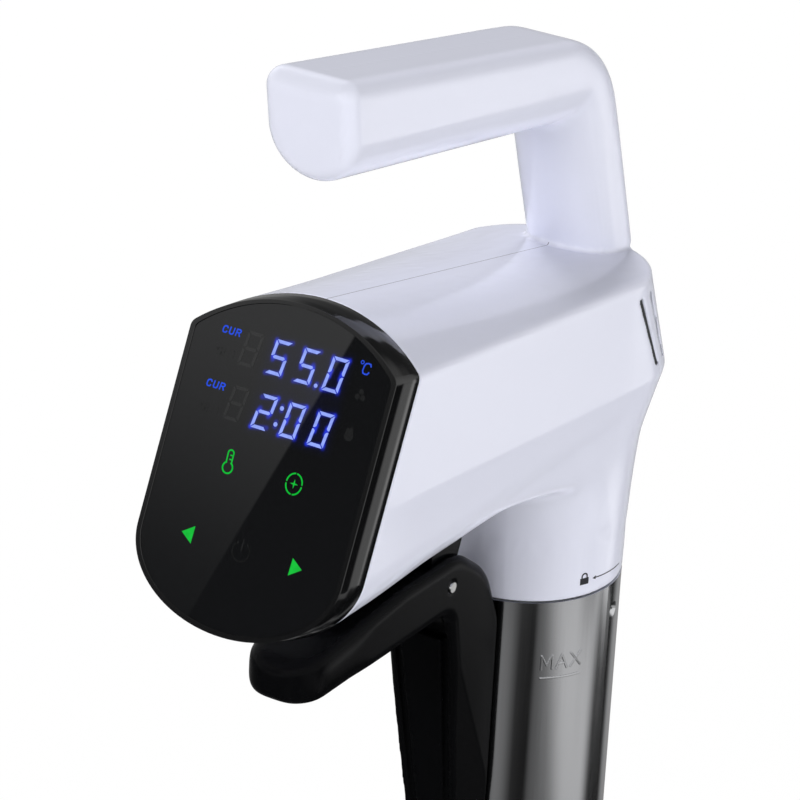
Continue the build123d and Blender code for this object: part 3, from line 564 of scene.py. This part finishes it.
display = {"lean": 23.7, "bottomInset": 20.35, "lift": 0.03, "thick": 0.02,
           "digitWide": 4.95, "digitHigh": 9.2, "slant": 1.2, "bar": 0.88, "gap": 0.2,
           "columns": (-6.7, 2.02, 10.74), "ghostColumn": -15.4, "rows": (47.05, 32.5),
           "figures": ("550", "200"), "pointAt": (9.0, 47.55), "pointSize": 0.55,
           "colonAt": ((1.15, 39.4), (0.5, 35.0)), "colonSize": 0.6,
           "lit": (0.30, 0.40, 1.0), "label": (0.02, 0.09, 0.9), "green": (0.0, 0.52, 0.035),
           "ghost": (0.013, 0.0135, 0.014), "faintGhost": (0.0065, 0.0068, 0.0072), "printGloss": 0.012}


def panelFrame():
    # origin and axes of the glass front face, from the CAD node itself
    glass = frame["nodes"]["display_panel"].data
    lean = math.radians(display["lean"])
    up = Vector((0, math.sin(lean), math.cos(lean)))
    out = Vector((0, -math.cos(lean), math.sin(lean)))
    front = max(v.co.dot(out) for v in glass.vertices)
    low = min(v.co.dot(up) for v in glass.vertices if v.co.dot(out) > front - 0.1 * mm)
    return out * front + up * (low + display["bottomInset"] * mm), up, out


panelOrigin, panelUp, panelOut = panelFrame()


def onPanel(x, up, lift):
    return panelOrigin + Vector((x * mm, 0, 0)) + panelUp * (up * mm) + panelOut * (lift * mm)


def plateMesh(name, outlines, place, low, high):
    # flat closed plates from 2-D outlines, laid on a surface by place(x, y, lift)
    bm = bmesh.new()
    for outline in outlines:
        top = [bm.verts.new(place(x, y, high)) for x, y in outline]
        base = [bm.verts.new(place(x, y, low)) for x, y in outline]
        bm.faces.new(top)
        bm.faces.new(list(reversed(base)))
        for k in range(len(outline)):
            n = (k + 1) % len(outline)
            bm.faces.new([top[k], base[k], base[n], top[n]])
    return linkedPiece(name, bm, turnOut=True)


strokeLap = 0.42         # how far a stroke's quads run past their ends, as a share of its width


def strokeOutlines(points, width):
    # one thin quad per run, each with its ends lapped over the next
    outlines = []
    for a, b in zip(points, points[1:]):
        a, b = Vector(a), Vector(b)
        if (b - a).length < 1e-9:
            continue
        along = (b - a).normalized() * (width * strokeLap)
        side = Vector((-along.y, along.x)).normalized() * (width / 2)
        a, b = a - along, b + along
        outlines.append([(a + side)[:], (a - side)[:], (b - side)[:], (b + side)[:]])
    return outlines


def arc(centre, radius, first, last, steps):
    turns = [math.radians(first + (last - first) * k / steps) for k in range(steps + 1)]
    return [(centre[0] + radius * math.cos(turn), centre[1] + radius * math.sin(turn)) for turn in turns]


def disc(centre, radius, sides):
    return arc(centre, radius, 0, 360 - 360 / sides, sides - 1)


segmentsOf = {"0": "abcdef", "2": "abged", "5": "afgcd", "8": "abcdefg"}


def digitOutlines(figure, x, up):
    # seven mitred bars with a hairline between them
    wide, high, bar, gap = display["digitWide"], display["digitHigh"], display["bar"], display["gap"]
    middle, half, inner = high / 2, bar / 2, wide - bar

    def mirrored(points, across, down):
        return [(wide - px if across else px, high - py if down else py) for px, py in points]

    top = [(gap, high), (wide - gap, high), (inner - gap, high - bar), (bar + gap, high - bar)]
    upright = [(0, high - gap), (bar, high - bar - gap), (bar, middle + half + gap),
               (half, middle + gap), (0, middle + gap)]
    across = [(half + gap, middle), (bar + gap, middle + half), (inner - gap, middle + half),
              (wide - half - gap, middle), (inner - gap, middle - half), (bar + gap, middle - half)]
    shapes = {"a": top, "d": mirrored(top, False, True), "g": across, "f": upright,
              "b": mirrored(upright, True, False), "e": mirrored(upright, False, True),
              "c": mirrored(upright, True, True)}
    lean = display["slant"] / high
    return [[(x + px + py * lean, up + py) for px, py in shapes[s]] for s in segmentsOf[figure]]


# letters as strokes, one unit wide and letterTall units high

letterTall = 1.4
letterStrokes = {
    "A": [[(0, 0), (0.5, 1.4), (1, 0)], [(0.2, 0.5), (0.8, 0.5)]],
    "C": [[(1, 1.1), (0.85, 1.35), (0.5, 1.4), (0.15, 1.3), (0, 1.0), (0, 0.4), (0.15, 0.1), (0.5, 0),
           (0.85, 0.05), (1, 0.3)]],
    "E": [[(1, 1.4), (0, 1.4), (0, 0), (1, 0)], [(0, 0.72), (0.85, 0.72)]],
    "M": [[(0, 0), (0, 1.4), (0.5, 0.4), (1, 1.4), (1, 0)]],
    "R": [[(0, 0), (0, 1.4), (0.7, 1.4), (1, 1.2), (1, 0.9), (0.7, 0.7), (0, 0.7)], [(0.6, 0.7), (1, 0)]],
    "S": [[(1, 1.15), (0.8, 1.4), (0.25, 1.4), (0, 1.15), (0.05, 0.85), (0.95, 0.55), (1, 0.25), (0.75, 0),
           (0.2, 0), (0, 0.25)]],
    "T": [[(0, 1.4), (1, 1.4)], [(0.5, 1.4), (0.5, 0)]],
    "U": [[(0, 1.4), (0, 0.3), (0.2, 0.03), (0.5, 0), (0.8, 0.03), (1, 0.3), (1, 1.4)]],
    "X": [[(0, 0), (1, 1.4)], [(0, 1.4), (1, 0)]],
}


def wordOutlines(word, x, up, wide, high, step, width, lean=0.0):
    outlines = []
    for k, letter in enumerate(word):
        for stroke in letterStrokes[letter]:
            points = [(x + k * step + px * wide + py / letterTall * high * lean, up + py / letterTall * high)
                      for px, py in stroke]
            outlines += strokeOutlines(points, width)
    return outlines


def glowMaterial(name, colour, strength):
    # lit print: an even glow with a slight unevenness from the lamp behind it
    material, tree, shader = startMaterial(name)
    cloud = noiseNode(tree, placeOn(tree), 700.0, 1.0)
    bright = smoothStep(tree, cloud, 0.2, 0.8, 0.86, 1.08)
    shader.inputs["Base Color"].default_value = rgb(0.004, 0.004, 0.005)
    tree.links.new(scaleNode(tree, colour, bright), shader.inputs["Emission Color"])
    shader.inputs["Emission Strength"].default_value = strength
    shader.inputs["Roughness"].default_value = 0.3
    shader.inputs["Specular IOR Level"].default_value = 0.2
    return material


# a matt flat finish, used for printed marks and for the painted shade behind the vent slots
def printAndShadeMaterial(name, colour, gloss):
    material, tree, shader = startMaterial(name)
    skin = useGroup(tree, mouldedSkin, colour=rgb(*colour), drift=0.1, gloss=gloss, glossDrift=0.05,
                    grain=3000.0)
    tree.links.new(skin.outputs["Colour"], shader.inputs["Base Color"])
    tree.links.new(skin.outputs["Roughness"], shader.inputs["Roughness"])
    bumpInto(tree, shader, skin.outputs["Height"], 0.05, 0.01 * mm)
    return material


litDigits = glowMaterial("litDigits", display["lit"], 1.0)
litLabels = glowMaterial("litLabels", display["label"], 0.85)
litIcons = glowMaterial("litIcons", display["green"], 1.0)
ghostPrint = printAndShadeMaterial("ghostPrint", display["ghost"], display["printGloss"])
faintPrint = printAndShadeMaterial("faintPrint", display["faintGhost"], display["printGloss"])


def dress(piece, material, body):
    piece.data.materials.append(material)
    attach(piece, body)
    return piece


def panelPiece(name, outlines, material):
    low, high = display["lift"], display["lift"] + display["thick"]
    return dress(plateMesh(name, outlines, onPanel, low, high), material, "housing")


def litNumbers():
    outlines = []
    for figures, up in zip(display["figures"], display["rows"]):
        for figure, x in zip(figures, display["columns"]):
            outlines += digitOutlines(figure, x, up)
    outlines.append(disc(display["pointAt"], display["pointSize"], 16))
    for spot in display["colonAt"]:
        outlines.append(disc(spot, display["colonSize"], 16))
    return outlines


# words beside the figures: where they start on the panel and how they are drawn, in mm
labels = {"curAt": ((-22.0, 54.0), (-22.5, 39.45)), "setAt": ((-22.2, 48.0), (-22.6, 32.9)),
          "unitAt": (21.0, 54.0), "degreeAt": (20.5, 56.8), "degreeSize": 0.42, "degreeLine": 0.24,
          "cur": {"wide": 1.2, "high": 1.7, "step": 2.05, "width": 0.37, "lean": 0.13},
          "set": {"wide": 1.4, "high": 1.9, "step": 2.2, "width": 0.32, "lean": 0.13},
          "unit": {"wide": 1.9, "high": 2.9, "step": 3, "width": 0.38, "lean": 0.13}}


def labelOutlines():
    outlines = []
    for x, up in labels["curAt"]:
        outlines += wordOutlines("CUR", x, up, **labels["cur"])
    outlines += wordOutlines("C", *labels["unitAt"], **labels["unit"])
    ring = arc(labels["degreeAt"], labels["degreeSize"], 0, 360, 14)
    return outlines + strokeOutlines(ring, labels["degreeLine"])


def faintOutlines():
    outlines = []
    for x, up in labels["setAt"]:
        outlines += wordOutlines("SET", x, up, **labels["set"])
    return outlines


# touch keys on the panel, in mm: a thermometer, a timer round a cross, and two arrows
keys = {"bulbAt": (-9.95, 20.6), "bulbSize": 1.5, "bulbLine": 0.42,
        "stemLeft": [(-10.75, 21.9), (-10.85, 24.4)], "stemTop": (-10.0, 24.4), "stemSize": 0.85,
        "stemRight": (-9.15, 21.9), "stemLine": 0.4, "marks": (23.9, 22.8), "markSpan": (-9.9, -9.3),
        "markLine": 0.36, "timerAt": (10.35, 21.75), "timerSize": 2.75, "timerShare": 0.86, "timerArc": 74,
        "timerLine": 0.4, "crossReach": 1.25, "crossHalf": 0.28,
        "arrows": ([(-18.26, 1.15), (-14.75, -1.2), (-14.67, 3.5)],
                   [(19.13, 1.25), (15.7, 3.55), (15.57, -1.14)])}


def iconOutlines():
    outlines = strokeOutlines(arc(keys["bulbAt"], keys["bulbSize"], 118, 422, 22), keys["bulbLine"])
    top = arc(keys["stemTop"], keys["stemSize"], 180, 0, 8)
    outlines += strokeOutlines(keys["stemLeft"] + top + [keys["stemRight"]], keys["stemLine"])
    for level in keys["marks"]:
        outlines += strokeOutlines([(x, level) for x in keys["markSpan"]], keys["markLine"])
    cx, cy = keys["timerAt"]
    for first in (8, 98, 188, 278):
        ring = arc((cx, cy), keys["timerSize"], first, first + keys["timerArc"], 12)
        ring = [(cx + keys["timerShare"] * (x - cx), y) for x, y in ring]
        outlines += strokeOutlines(ring, keys["timerLine"])
    reach, half = keys["crossReach"], keys["crossHalf"]
    for turn in range(4):
        a = math.radians(90 * turn)
        b = a + math.pi / 2
        outlines.append([(cx + half * math.cos(b), cy + half * math.sin(b)),
                         (cx - half * math.cos(b), cy - half * math.sin(b)),
                         (cx + reach * math.cos(a), cy + reach * math.sin(a))])
    return outlines + list(keys["arrows"])


# unlit icons on the panel, in mm: a power key, a small fan and a drop
ghosts = {"powerAt": (0.4, 0.9), "powerSize": 2.6, "powerBar": [(0.4, 1.2), (0.4, 4.0)], "powerLine": 0.45,
          "fanAt": (22.4, 48.5), "bladeReach": 0.95, "bladeSize": 0.75,
          "dropAt": (22.1, 37.9), "dropSize": 1.5,
          "dropTip": [(23.1, 39.2), (22.5, 40.4), (21.9, 39.4), (21.3, 39.9)]}


def ghostOutlines():
    outlines = []
    for up in display["rows"]:
        outlines += digitOutlines("8", display["ghostColumn"], up)
    ring = arc(ghosts["powerAt"], ghosts["powerSize"], 125, 415, 24)
    outlines += strokeOutlines(ring, ghosts["powerLine"])
    outlines += strokeOutlines(ghosts["powerBar"], ghosts["powerLine"])
    fanX, fanY = ghosts["fanAt"]
    for turn in (90, 210, 330):
        a = math.radians(turn)
        blade = (fanX + ghosts["bladeReach"] * math.cos(a), fanY + ghosts["bladeReach"] * math.sin(a))
        outlines.append(disc(blade, ghosts["bladeSize"], 12))
    outlines.append(arc(ghosts["dropAt"], ghosts["dropSize"], 200, 340, 12) + ghosts["dropTip"])
    return outlines


# the haze of light under the glass, in mm: a near and a far falloff from every lit bar
glow = {"cell": 0.3, "across": (-9.5, 19.2), "upward": (29.8, 59.2), "lift": 0.012, "barHalf": 0.3,
        "near": 0.38, "nearReach": 0.4, "far": 0.035, "farReach": 1.2, "rimRise": 0.4,
        "deep": (0.004, 0.008, 0.28), "bright": (0.02, 0.05, 1.0), "strength": 0.9}


def glowAt(spot, bars):
    total = 0.0
    for a, b in bars:
        along = b - a
        share = max(0.0, min(1.0, (spot - a).dot(along) / along.length_squared))
        away = max(0.0, (spot - a - along * share).length - glow["barHalf"])
        total += glow["near"] * math.exp(-(away / glow["nearReach"]) ** 2)
        total += glow["far"] * math.exp(-away / glow["farReach"])
    return min(1.0, total)


def glowSheet():
    # thin sheet round the lit figures; its attribute holds how near each point is to a lit bar
    bars = []
    for outline in litNumbers():
        cx = sum(p[0] for p in outline) / len(outline)
        cy = sum(p[1] for p in outline) / len(outline)
        reach = max(outline, key=lambda p: (p[0] - cx) ** 2 + (p[1] - cy) ** 2)
        other = (2 * cx - reach[0], 2 * cy - reach[1])
        bars.append((Vector(reach), Vector(other)))
    cell, (x0, x1), (y0, y1) = glow["cell"], glow["across"], glow["upward"]
    nx, ny = int((x1 - x0) / cell), int((y1 - y0) / cell)
    bm = bmesh.new()
    layer = bm.verts.layers.float.new("nearness")
    rows = []
    for j in range(ny + 1):
        row = []
        for i in range(nx + 1):
            x, y = x0 + i * cell, y0 + j * cell
            vert = bm.verts.new(onPanel(x, y, glow["lift"]))
            rim = min(1.0, glow["rimRise"] * min(x - x0, x1 - x, y - y0, y1 - y))
            vert[layer] = glowAt(Vector((x, y)), bars) * max(0.0, rim)
            row.append(vert)
        rows.append(row)
    for j in range(ny):
        for i in range(nx):
            bm.faces.new([rows[j][i], rows[j][i + 1], rows[j + 1][i + 1], rows[j + 1][i]])
    sheet = linkedPiece("glowSheet", bm, turnOut=True)
    material, tree, shader = startMaterial("digitGlow")
    near = addNode(tree, "ShaderNodeAttribute", attribute_name="nearness").outputs["Fac"]
    colour = mixColour(tree, near, rgb(*glow["deep"]), rgb(*glow["bright"]))
    shader.inputs["Base Color"].default_value = rgb(*plastics["display_glass"]["colour"])
    shader.inputs["Roughness"].default_value = plastics["display_glass"]["gloss"]
    tree.links.new(scaleNode(tree, colour, near), shader.inputs["Emission Color"])
    shader.inputs["Emission Strength"].default_value = glow["strength"]
    return dress(sheet, material, "housing")


panelPiece("displayNumbers", litNumbers(), litDigits)
panelPiece("displayLabels", labelOutlines(), litLabels)
panelPiece("displayIcons", iconOutlines(), litIcons)
panelPiece("displayGhosts", ghostOutlines(), ghostPrint)
panelPiece("displayFaintGhosts", faintOutlines(), faintPrint)
glowSheet()
print("display drawn")


# marks on the tube and the neck

# on the tube, in mm, with angles in degrees from -Y towards +X
tube = {"radius": 29.0, "emboss": 0.27, "sunk": 0.08, "wordStart": 44.0, "wordLevel": -21.3,
        "wordHigh": 4.3, "letterWide": 3.3, "letterStep": 4.6, "stroke": 0.62, "underLevel": -24.2,
        "underSteps": 14, "edge": 0.12}


def aroundTube(x, z, lift):
    # x is the way round the tube from -Y towards +X
    radius = (tube["radius"] + lift) * mm
    a = x / tube["radius"]
    return Vector((radius * math.sin(a), -radius * math.cos(a), z * mm))


def lineOutlines(first, last, steps, width):
    # a straight stroke in short runs, so that it can follow the tube
    points = [(first[0] + (last[0] - first[0]) * k / steps, first[1] + (last[1] - first[1]) * k / steps)
              for k in range(steps + 1)]
    return strokeOutlines(points, width)


def tubeWord():
    start = math.radians(tube["wordStart"]) * tube["radius"]
    outlines = wordOutlines("MAX", start, tube["wordLevel"], tube["letterWide"], tube["wordHigh"],
                            tube["letterStep"], tube["stroke"])
    end = start + 2 * tube["letterStep"] + tube["letterWide"]
    outlines += lineOutlines((start, tube["underLevel"]), (end, tube["underLevel"]), tube["underSteps"],
                             tube["stroke"])
    piece = plateMesh("tubeLevelMark", outlines, aroundTube, -tube["sunk"], tube["emboss"])
    bevel = piece.modifiers.new("roundedLetters", "BEVEL")
    bevel.width = tube["edge"] * mm
    bevel.segments = 3
    bevel.limit_method = "ANGLE"
    return dress(piece, finishes["tube_steel"], "sleeve_body")


# the padlock and its pointer printed on the neck, in mm, with angles as above
lock = {"angle": 67.7, "level": 5.3, "half": 1.5, "foot": -1.1, "top": 0.95, "bowHalf": 0.9, "bowFoot": 0.9,
        "bowLevel": 1.45, "bowLine": 0.42, "tipAngle": 73.6, "endAngle": 103.0,
        "head": ((0, 5.35), (1.5, 5.9), (1.2, 5.3), (1.45, 4.75)), "lineStart": 1.1,
        "lineLevels": (5.32, 4.62), "lineSteps": 22, "line": 0.3, "print": 0.05,
        "colour": (0.02, 0.02, 0.025), "gloss": 0.4}


def lockMark():
    angles = (lock["angle"], lock["tipAngle"], lock["endAngle"])
    centre, tip, end = (math.radians(angle) * tube["radius"] for angle in angles)
    level, half, bow = lock["level"], lock["half"], lock["bowHalf"]
    foot, top, bowFoot = level + lock["foot"], level + lock["top"], level + lock["bowFoot"]
    outlines = [[(centre - half, foot), (centre + half, foot), (centre + half, top), (centre - half, top)]]
    hoop = arc((centre, level + lock["bowLevel"]), bow, 180, 0, 10)
    outlines += strokeOutlines([(centre - bow, bowFoot)] + hoop + [(centre + bow, bowFoot)], lock["bowLine"])
    outlines.append([(tip + x, z) for x, z in lock["head"]])
    first, last = lock["lineLevels"]
    outlines += lineOutlines((tip + lock["lineStart"], first), (end, last), lock["lineSteps"], lock["line"])
    piece = plateMesh("lockMark", outlines, aroundTube, -lock["print"], lock["print"])
    ink = printAndShadeMaterial("lockPrint", lock["colour"], lock["gloss"])
    return dress(piece, ink, "housing")


# the rear wall that the dark sheet of painted shade follows, in mm, with its sweep in half turns; its colour
# is the painted shade
vents = {"corner": 28.5, "offset": 1.9, "reach": 42.5, "level": 60.5, "slope": 0.456, "wall": 0.4,
         "low": 61.5, "high": 91.0, "thick": 0.4, "steps": 40, "sweep": 1.1, "before": 0.05,
         "colour": (0.02, 0.021, 0.022), "gloss": 0.7}


def ventShadeSheet():
    # a dark sheet behind the slots, following the inside of the rear wall: painted shade that makes the slots
    # look dark inside
    bm = bmesh.new()
    rings = []
    low, high, thick = vents["low"], vents["high"], vents["thick"]
    for z, extra in ((low, 0.0), (high, 0.0), (high, thick), (low, thick)):
        radius = vents["corner"] - vents["wall"] - extra
        y0 = vents["reach"] - vents["corner"] - vents["slope"] * (z - vents["level"])
        ring = []
        for k in range(vents["steps"] + 1):
            a = math.pi * (k / vents["steps"] * vents["sweep"] - vents["before"])
            x = radius * math.cos(a) + math.copysign(vents["offset"], math.cos(a))
            ring.append(bm.verts.new((x * mm, (y0 + radius * math.sin(a)) * mm, z * mm)))
        rings.append(ring)
    for k in range(4):
        this, other = rings[k], rings[(k + 1) % 4]
        for a, b, c, d in zip(this, this[1:], other[1:], other):
            bm.faces.new([a, b, c, d])
    for end in (0, -1):
        bm.faces.new([ring[end] for ring in rings])
    piece = linkedPiece("ventShadeSheet", bm, turnOut=True)
    # painted shade: a near-black matt finish on the sheet behind the slots
    shadeInk = printAndShadeMaterial("ventShadeInk", vents["colour"], vents["gloss"])
    return dress(piece, shadeInk, "housing")


tubeWord()
lockMark()
ventShadeSheet()
print("marks drawn")


# stage, lights, camera

floorLook = {"size": 8.0, "below": 0.05, "colour": (0.80, 0.80, 0.80), "paler": (0.82, 0.82, 0.82),
             "seenWhite": 0.985}

# surroundings: rings hold (degrees from -Y towards +X, level) and rises are degrees above the horizon
studio = {"horizon": 0.32, "zenith": 0.16,
          "lowRing": ((-180, 0.35), (-120, 0.3), (-60, 0.04), (-15, 0.03), (5, 0.12), (14, 0.28),
                      (22, 0.22), (33, 0.03), (49, 0.01), (53, 0.12), (68, 0.18), (139, 0.02),
                      (165, 0.02), (175, 0.3), (180, 0.35)),
          "stripRing": ((-180, 0.35), (-120, 0.3), (-60, 0.06), (14, 0.1), (49, 0.05), (70, 0.5),
                        (100, 0.5), (113, 0.03), (124, 0.03), (131, 0.75), (140, 0.75), (145, 1.4),
                        (152, 1.4), (157, 0.03), (166, 0.03), (180, 0.3)),
          "highRing": ((-180, 0.08), (-148, 0.12), (-132, 0.6), (-112, 0.95), (-60, 0.9), (60, 0.95),
                       (130, 0.95), (160, 0.5), (172, 0.08)),
          "panelTurn": 72.0, "panelRise": -27.0, "panelLean": 6.5, "panelSoft": 11.0,
          "panelEnd": (122.0, 142.0), "panelLevel": 0.75, "dimRise": (-32.0, -26.0), "dimTo": 0.7,
          "stripRise": (-26.6, -25.9), "topRise": (40.0, 75.0), "topLevel": 0.55,
          "edgeNormal": (-0.848, 0.526, 0.065), "edgeSoft": 0.0004, "footRise": (13.6, 18.2),
          "footLevel": 0.14, "litLevel": 0.78, "darkLevel": 0.07,
          "windowAt": (-0.47, -0.835, 0.28), "windowRim": (0.965, 0.985), "upperRise": (-9.0, 1.0)}


def makeFloor():
    bm = bmesh.new()
    half = floorLook["size"] / 2
    level = cadBox[0][2] - floorLook["below"] * mm
    for x, y in ((-half, -half), (half, -half), (half, half), (-half, half)):
        bm.verts.new((x, y, level))
    bm.faces.new(bm.verts)
    floor = linkedPiece("floor", bm)
    material = bpy.data.materials.new("paleFloor")
    material.use_nodes = True
    tree = material.node_tree
    tree.nodes.clear()
    cloud = noiseNode(tree, placeOn(tree), 3.0)
    colour = mixColour(tree, cloud, rgb(*floorLook["colour"]), rgb(*floorLook["paler"]))
    matt = addNode(tree, "ShaderNodeBsdfDiffuse", {"Color": colour})
    white = addNode(tree, "ShaderNodeEmission", {"Color": rgb(1, 1, 1), "Strength": 1.0})
    path = addNode(tree, "ShaderNodeLightPath")
    seen = mathNode(tree, "ADD", path.outputs["Is Camera Ray"], path.outputs["Is Glossy Ray"])
    seen = mathNode(tree, "ADD", seen, path.outputs["Is Transmission Ray"], clamp=True)
    share = mathNode(tree, "MULTIPLY", seen, floorLook["seenWhite"])
    mixed = addNode(tree, "ShaderNodeMixShader", {0: share, 1: matt.outputs[0], 2: white.outputs[0]})
    out = addNode(tree, "ShaderNodeOutputMaterial")
    tree.links.new(mixed.outputs[0], out.inputs["Surface"])
    floor.data.materials.append(material)
    floor.visible_glossy = False


def grey(level):
    return rgb(level, level, level)


def ringOf(tree, around, stops):
    # grey level by direction, in degrees from -Y towards +X
    node = addNode(tree, "ShaderNodeValToRGB", {"Fac": around})
    elements = node.color_ramp.elements
    while len(elements) < len(stops):
        elements.new(0.5)
    for element, (turned, level) in zip(elements, stops):
        element.position = 0.5 + turned / 360
        element.color = grey(level)
    return node.outputs[0]


def makeWorld():
    # white to the camera; a soft grey studio with darker gaps for reflections; a plain fade for light
    world = bpy.data.worlds.new("studio")
    bpy.context.scene.world = world
    world.use_nodes = True
    tree = world.node_tree
    tree.nodes.clear()
    look = addNode(tree, "ShaderNodeTexCoord").outputs["Generated"]
    parts = addNode(tree, "ShaderNodeSeparateXYZ", {0: look})
    rise = addNode(tree, "ShaderNodeMath", {0: parts.outputs[2]}, operation="ARCSINE").outputs[0]
    rise = mathNode(tree, "MULTIPLY", rise, 180 / math.pi)
    turn = mathNode(tree, "ARCTAN2", parts.outputs[0], mathNode(tree, "MULTIPLY", parts.outputs[1], -1.0))
    turn = mathNode(tree, "MULTIPLY", turn, 180 / math.pi)          # degrees from -Y towards +X
    fade = smoothStep(tree, rise, -5.0, 85.0, studio["horizon"], studio["zenith"])
    around = mathNode(tree, "MULTIPLY_ADD", turn, 1 / 360, 0.5)

    # low surroundings, seen in the tube: one tall bright panel at the right whose left edge leans
    low = ringOf(tree, around, studio["lowRing"])
    lean, soft = studio["panelLean"], studio["panelSoft"]
    leftEdge = mathNode(tree, "MULTIPLY_ADD", rise, -lean, studio["panelTurn"] + studio["panelRise"] * lean)
    panel = smoothStep(tree, mathNode(tree, "SUBTRACT", turn, leftEdge), -soft, soft)
    rightEdge = smoothStep(tree, turn, *studio["panelEnd"], 1.0, 0.0)
    low = mixColour(tree, mathNode(tree, "MULTIPLY", panel, rightEdge), low, grey(studio["panelLevel"]))
    low = scaleNode(tree, low, smoothStep(tree, rise, *studio["dimRise"], studio["dimTo"], 1.0))

    # a little higher: a narrow bright strip at the right, seen in the bezel's side
    strip = ringOf(tree, around, studio["stripRing"])
    low = mixColour(tree, smoothStep(tree, rise, *studio["stripRise"]), low, strip)

    # upper surroundings: dark behind, pale elsewhere, with one tall panel's edge at the front left
    high = ringOf(tree, around, studio["highRing"])
    high = mixColour(tree, smoothStep(tree, rise, *studio["topRise"]), high, grey(studio["topLevel"]))
    edge = dotNode(tree, look, studio["edgeNormal"])
    lightSide = smoothStep(tree, edge, -studio["edgeSoft"], studio["edgeSoft"])
    foot = smoothStep(tree, rise, *studio["footRise"], studio["footLevel"], studio["litLevel"])
    dark = studio["darkLevel"]
    shade = mathNode(tree, "MULTIPLY_ADD", lightSide, mathNode(tree, "SUBTRACT", foot, dark), dark)
    window = smoothStep(tree, dotNode(tree, look, studio["windowAt"]), *studio["windowRim"])
    upper = mixColour(tree, window, high, shade)
    mirrored = mixColour(tree, smoothStep(tree, rise, *studio["upperRise"]), low, upper)

    path = addNode(tree, "ShaderNodeLightPath")
    glossy = mathNode(tree, "ADD", path.outputs["Is Glossy Ray"], path.outputs["Is Transmission Ray"],
                      clamp=True)
    unseen = mixColour(tree, glossy, fade, mirrored)
    colour = mixColour(tree, path.outputs["Is Camera Ray"], unseen, rgb(1, 1, 1))
    back = addNode(tree, "ShaderNodeBackground", {"Color": colour, "Strength": 1.0})
    out = addNode(tree, "ShaderNodeOutputWorld")
    tree.links.new(back.outputs[0], out.inputs["Surface"])


# lamps, in metres and watts, all facing the object's middle
lamps = {"rightKey": {"at": (2.28, 0.0, 0.25), "wide": 1.4, "tall": 0.6, "watts": 25.0},
         "backLeft": {"at": (-1.1, 1.1, 1.55), "wide": 1.2, "tall": 1.2, "watts": 44.0},
         "frontFill": {"at": (-0.3, -2.0, 1.0), "wide": 1.2, "tall": 0.8, "watts": 27.0}}


def makeLamps():
    middle = (Vector(cadBox[0]) + Vector(cadBox[1])) / 2
    for name, lamp in lamps.items():
        data = bpy.data.lights.new(name, "AREA")
        data.shape = "RECTANGLE"
        data.size = lamp["wide"]
        data.size_y = lamp["tall"]
        data.energy = lamp["watts"]
        light = bpy.data.objects.new(name, data)
        light.location = lamp["at"]
        light.rotation_euler = (middle - light.location).to_track_quat("-Z", "Y").to_euler()
        light.visible_glossy = False
        bpy.context.scene.collection.objects.link(light)


view = {"at": (0.545993, -0.980446, 0.546954), "right": (0.84388, 0.53418, 0.05011),
        "up": (-0.25626, 0.31924, 0.91237), "lens": 192.94}


def makeCamera():
    data = bpy.data.cameras.new("camera")
    data.lens = view["lens"]
    data.sensor_width = 36.0
    data.clip_start = 0.01
    data.clip_end = 50.0
    camera = bpy.data.objects.new("camera", data)
    right, up = Vector(view["right"]), Vector(view["up"])
    turn = Matrix((right, up, right.cross(up))).transposed().to_4x4()
    camera.matrix_world = Matrix.Translation(view["at"]) @ turn
    bpy.context.scene.collection.objects.link(camera)
    bpy.context.scene.camera = camera


makeFloor()
makeWorld()
makeLamps()
makeCamera()
bpy.context.scene.view_settings.view_transform = "Standard"
print("stage, lights and camera set")
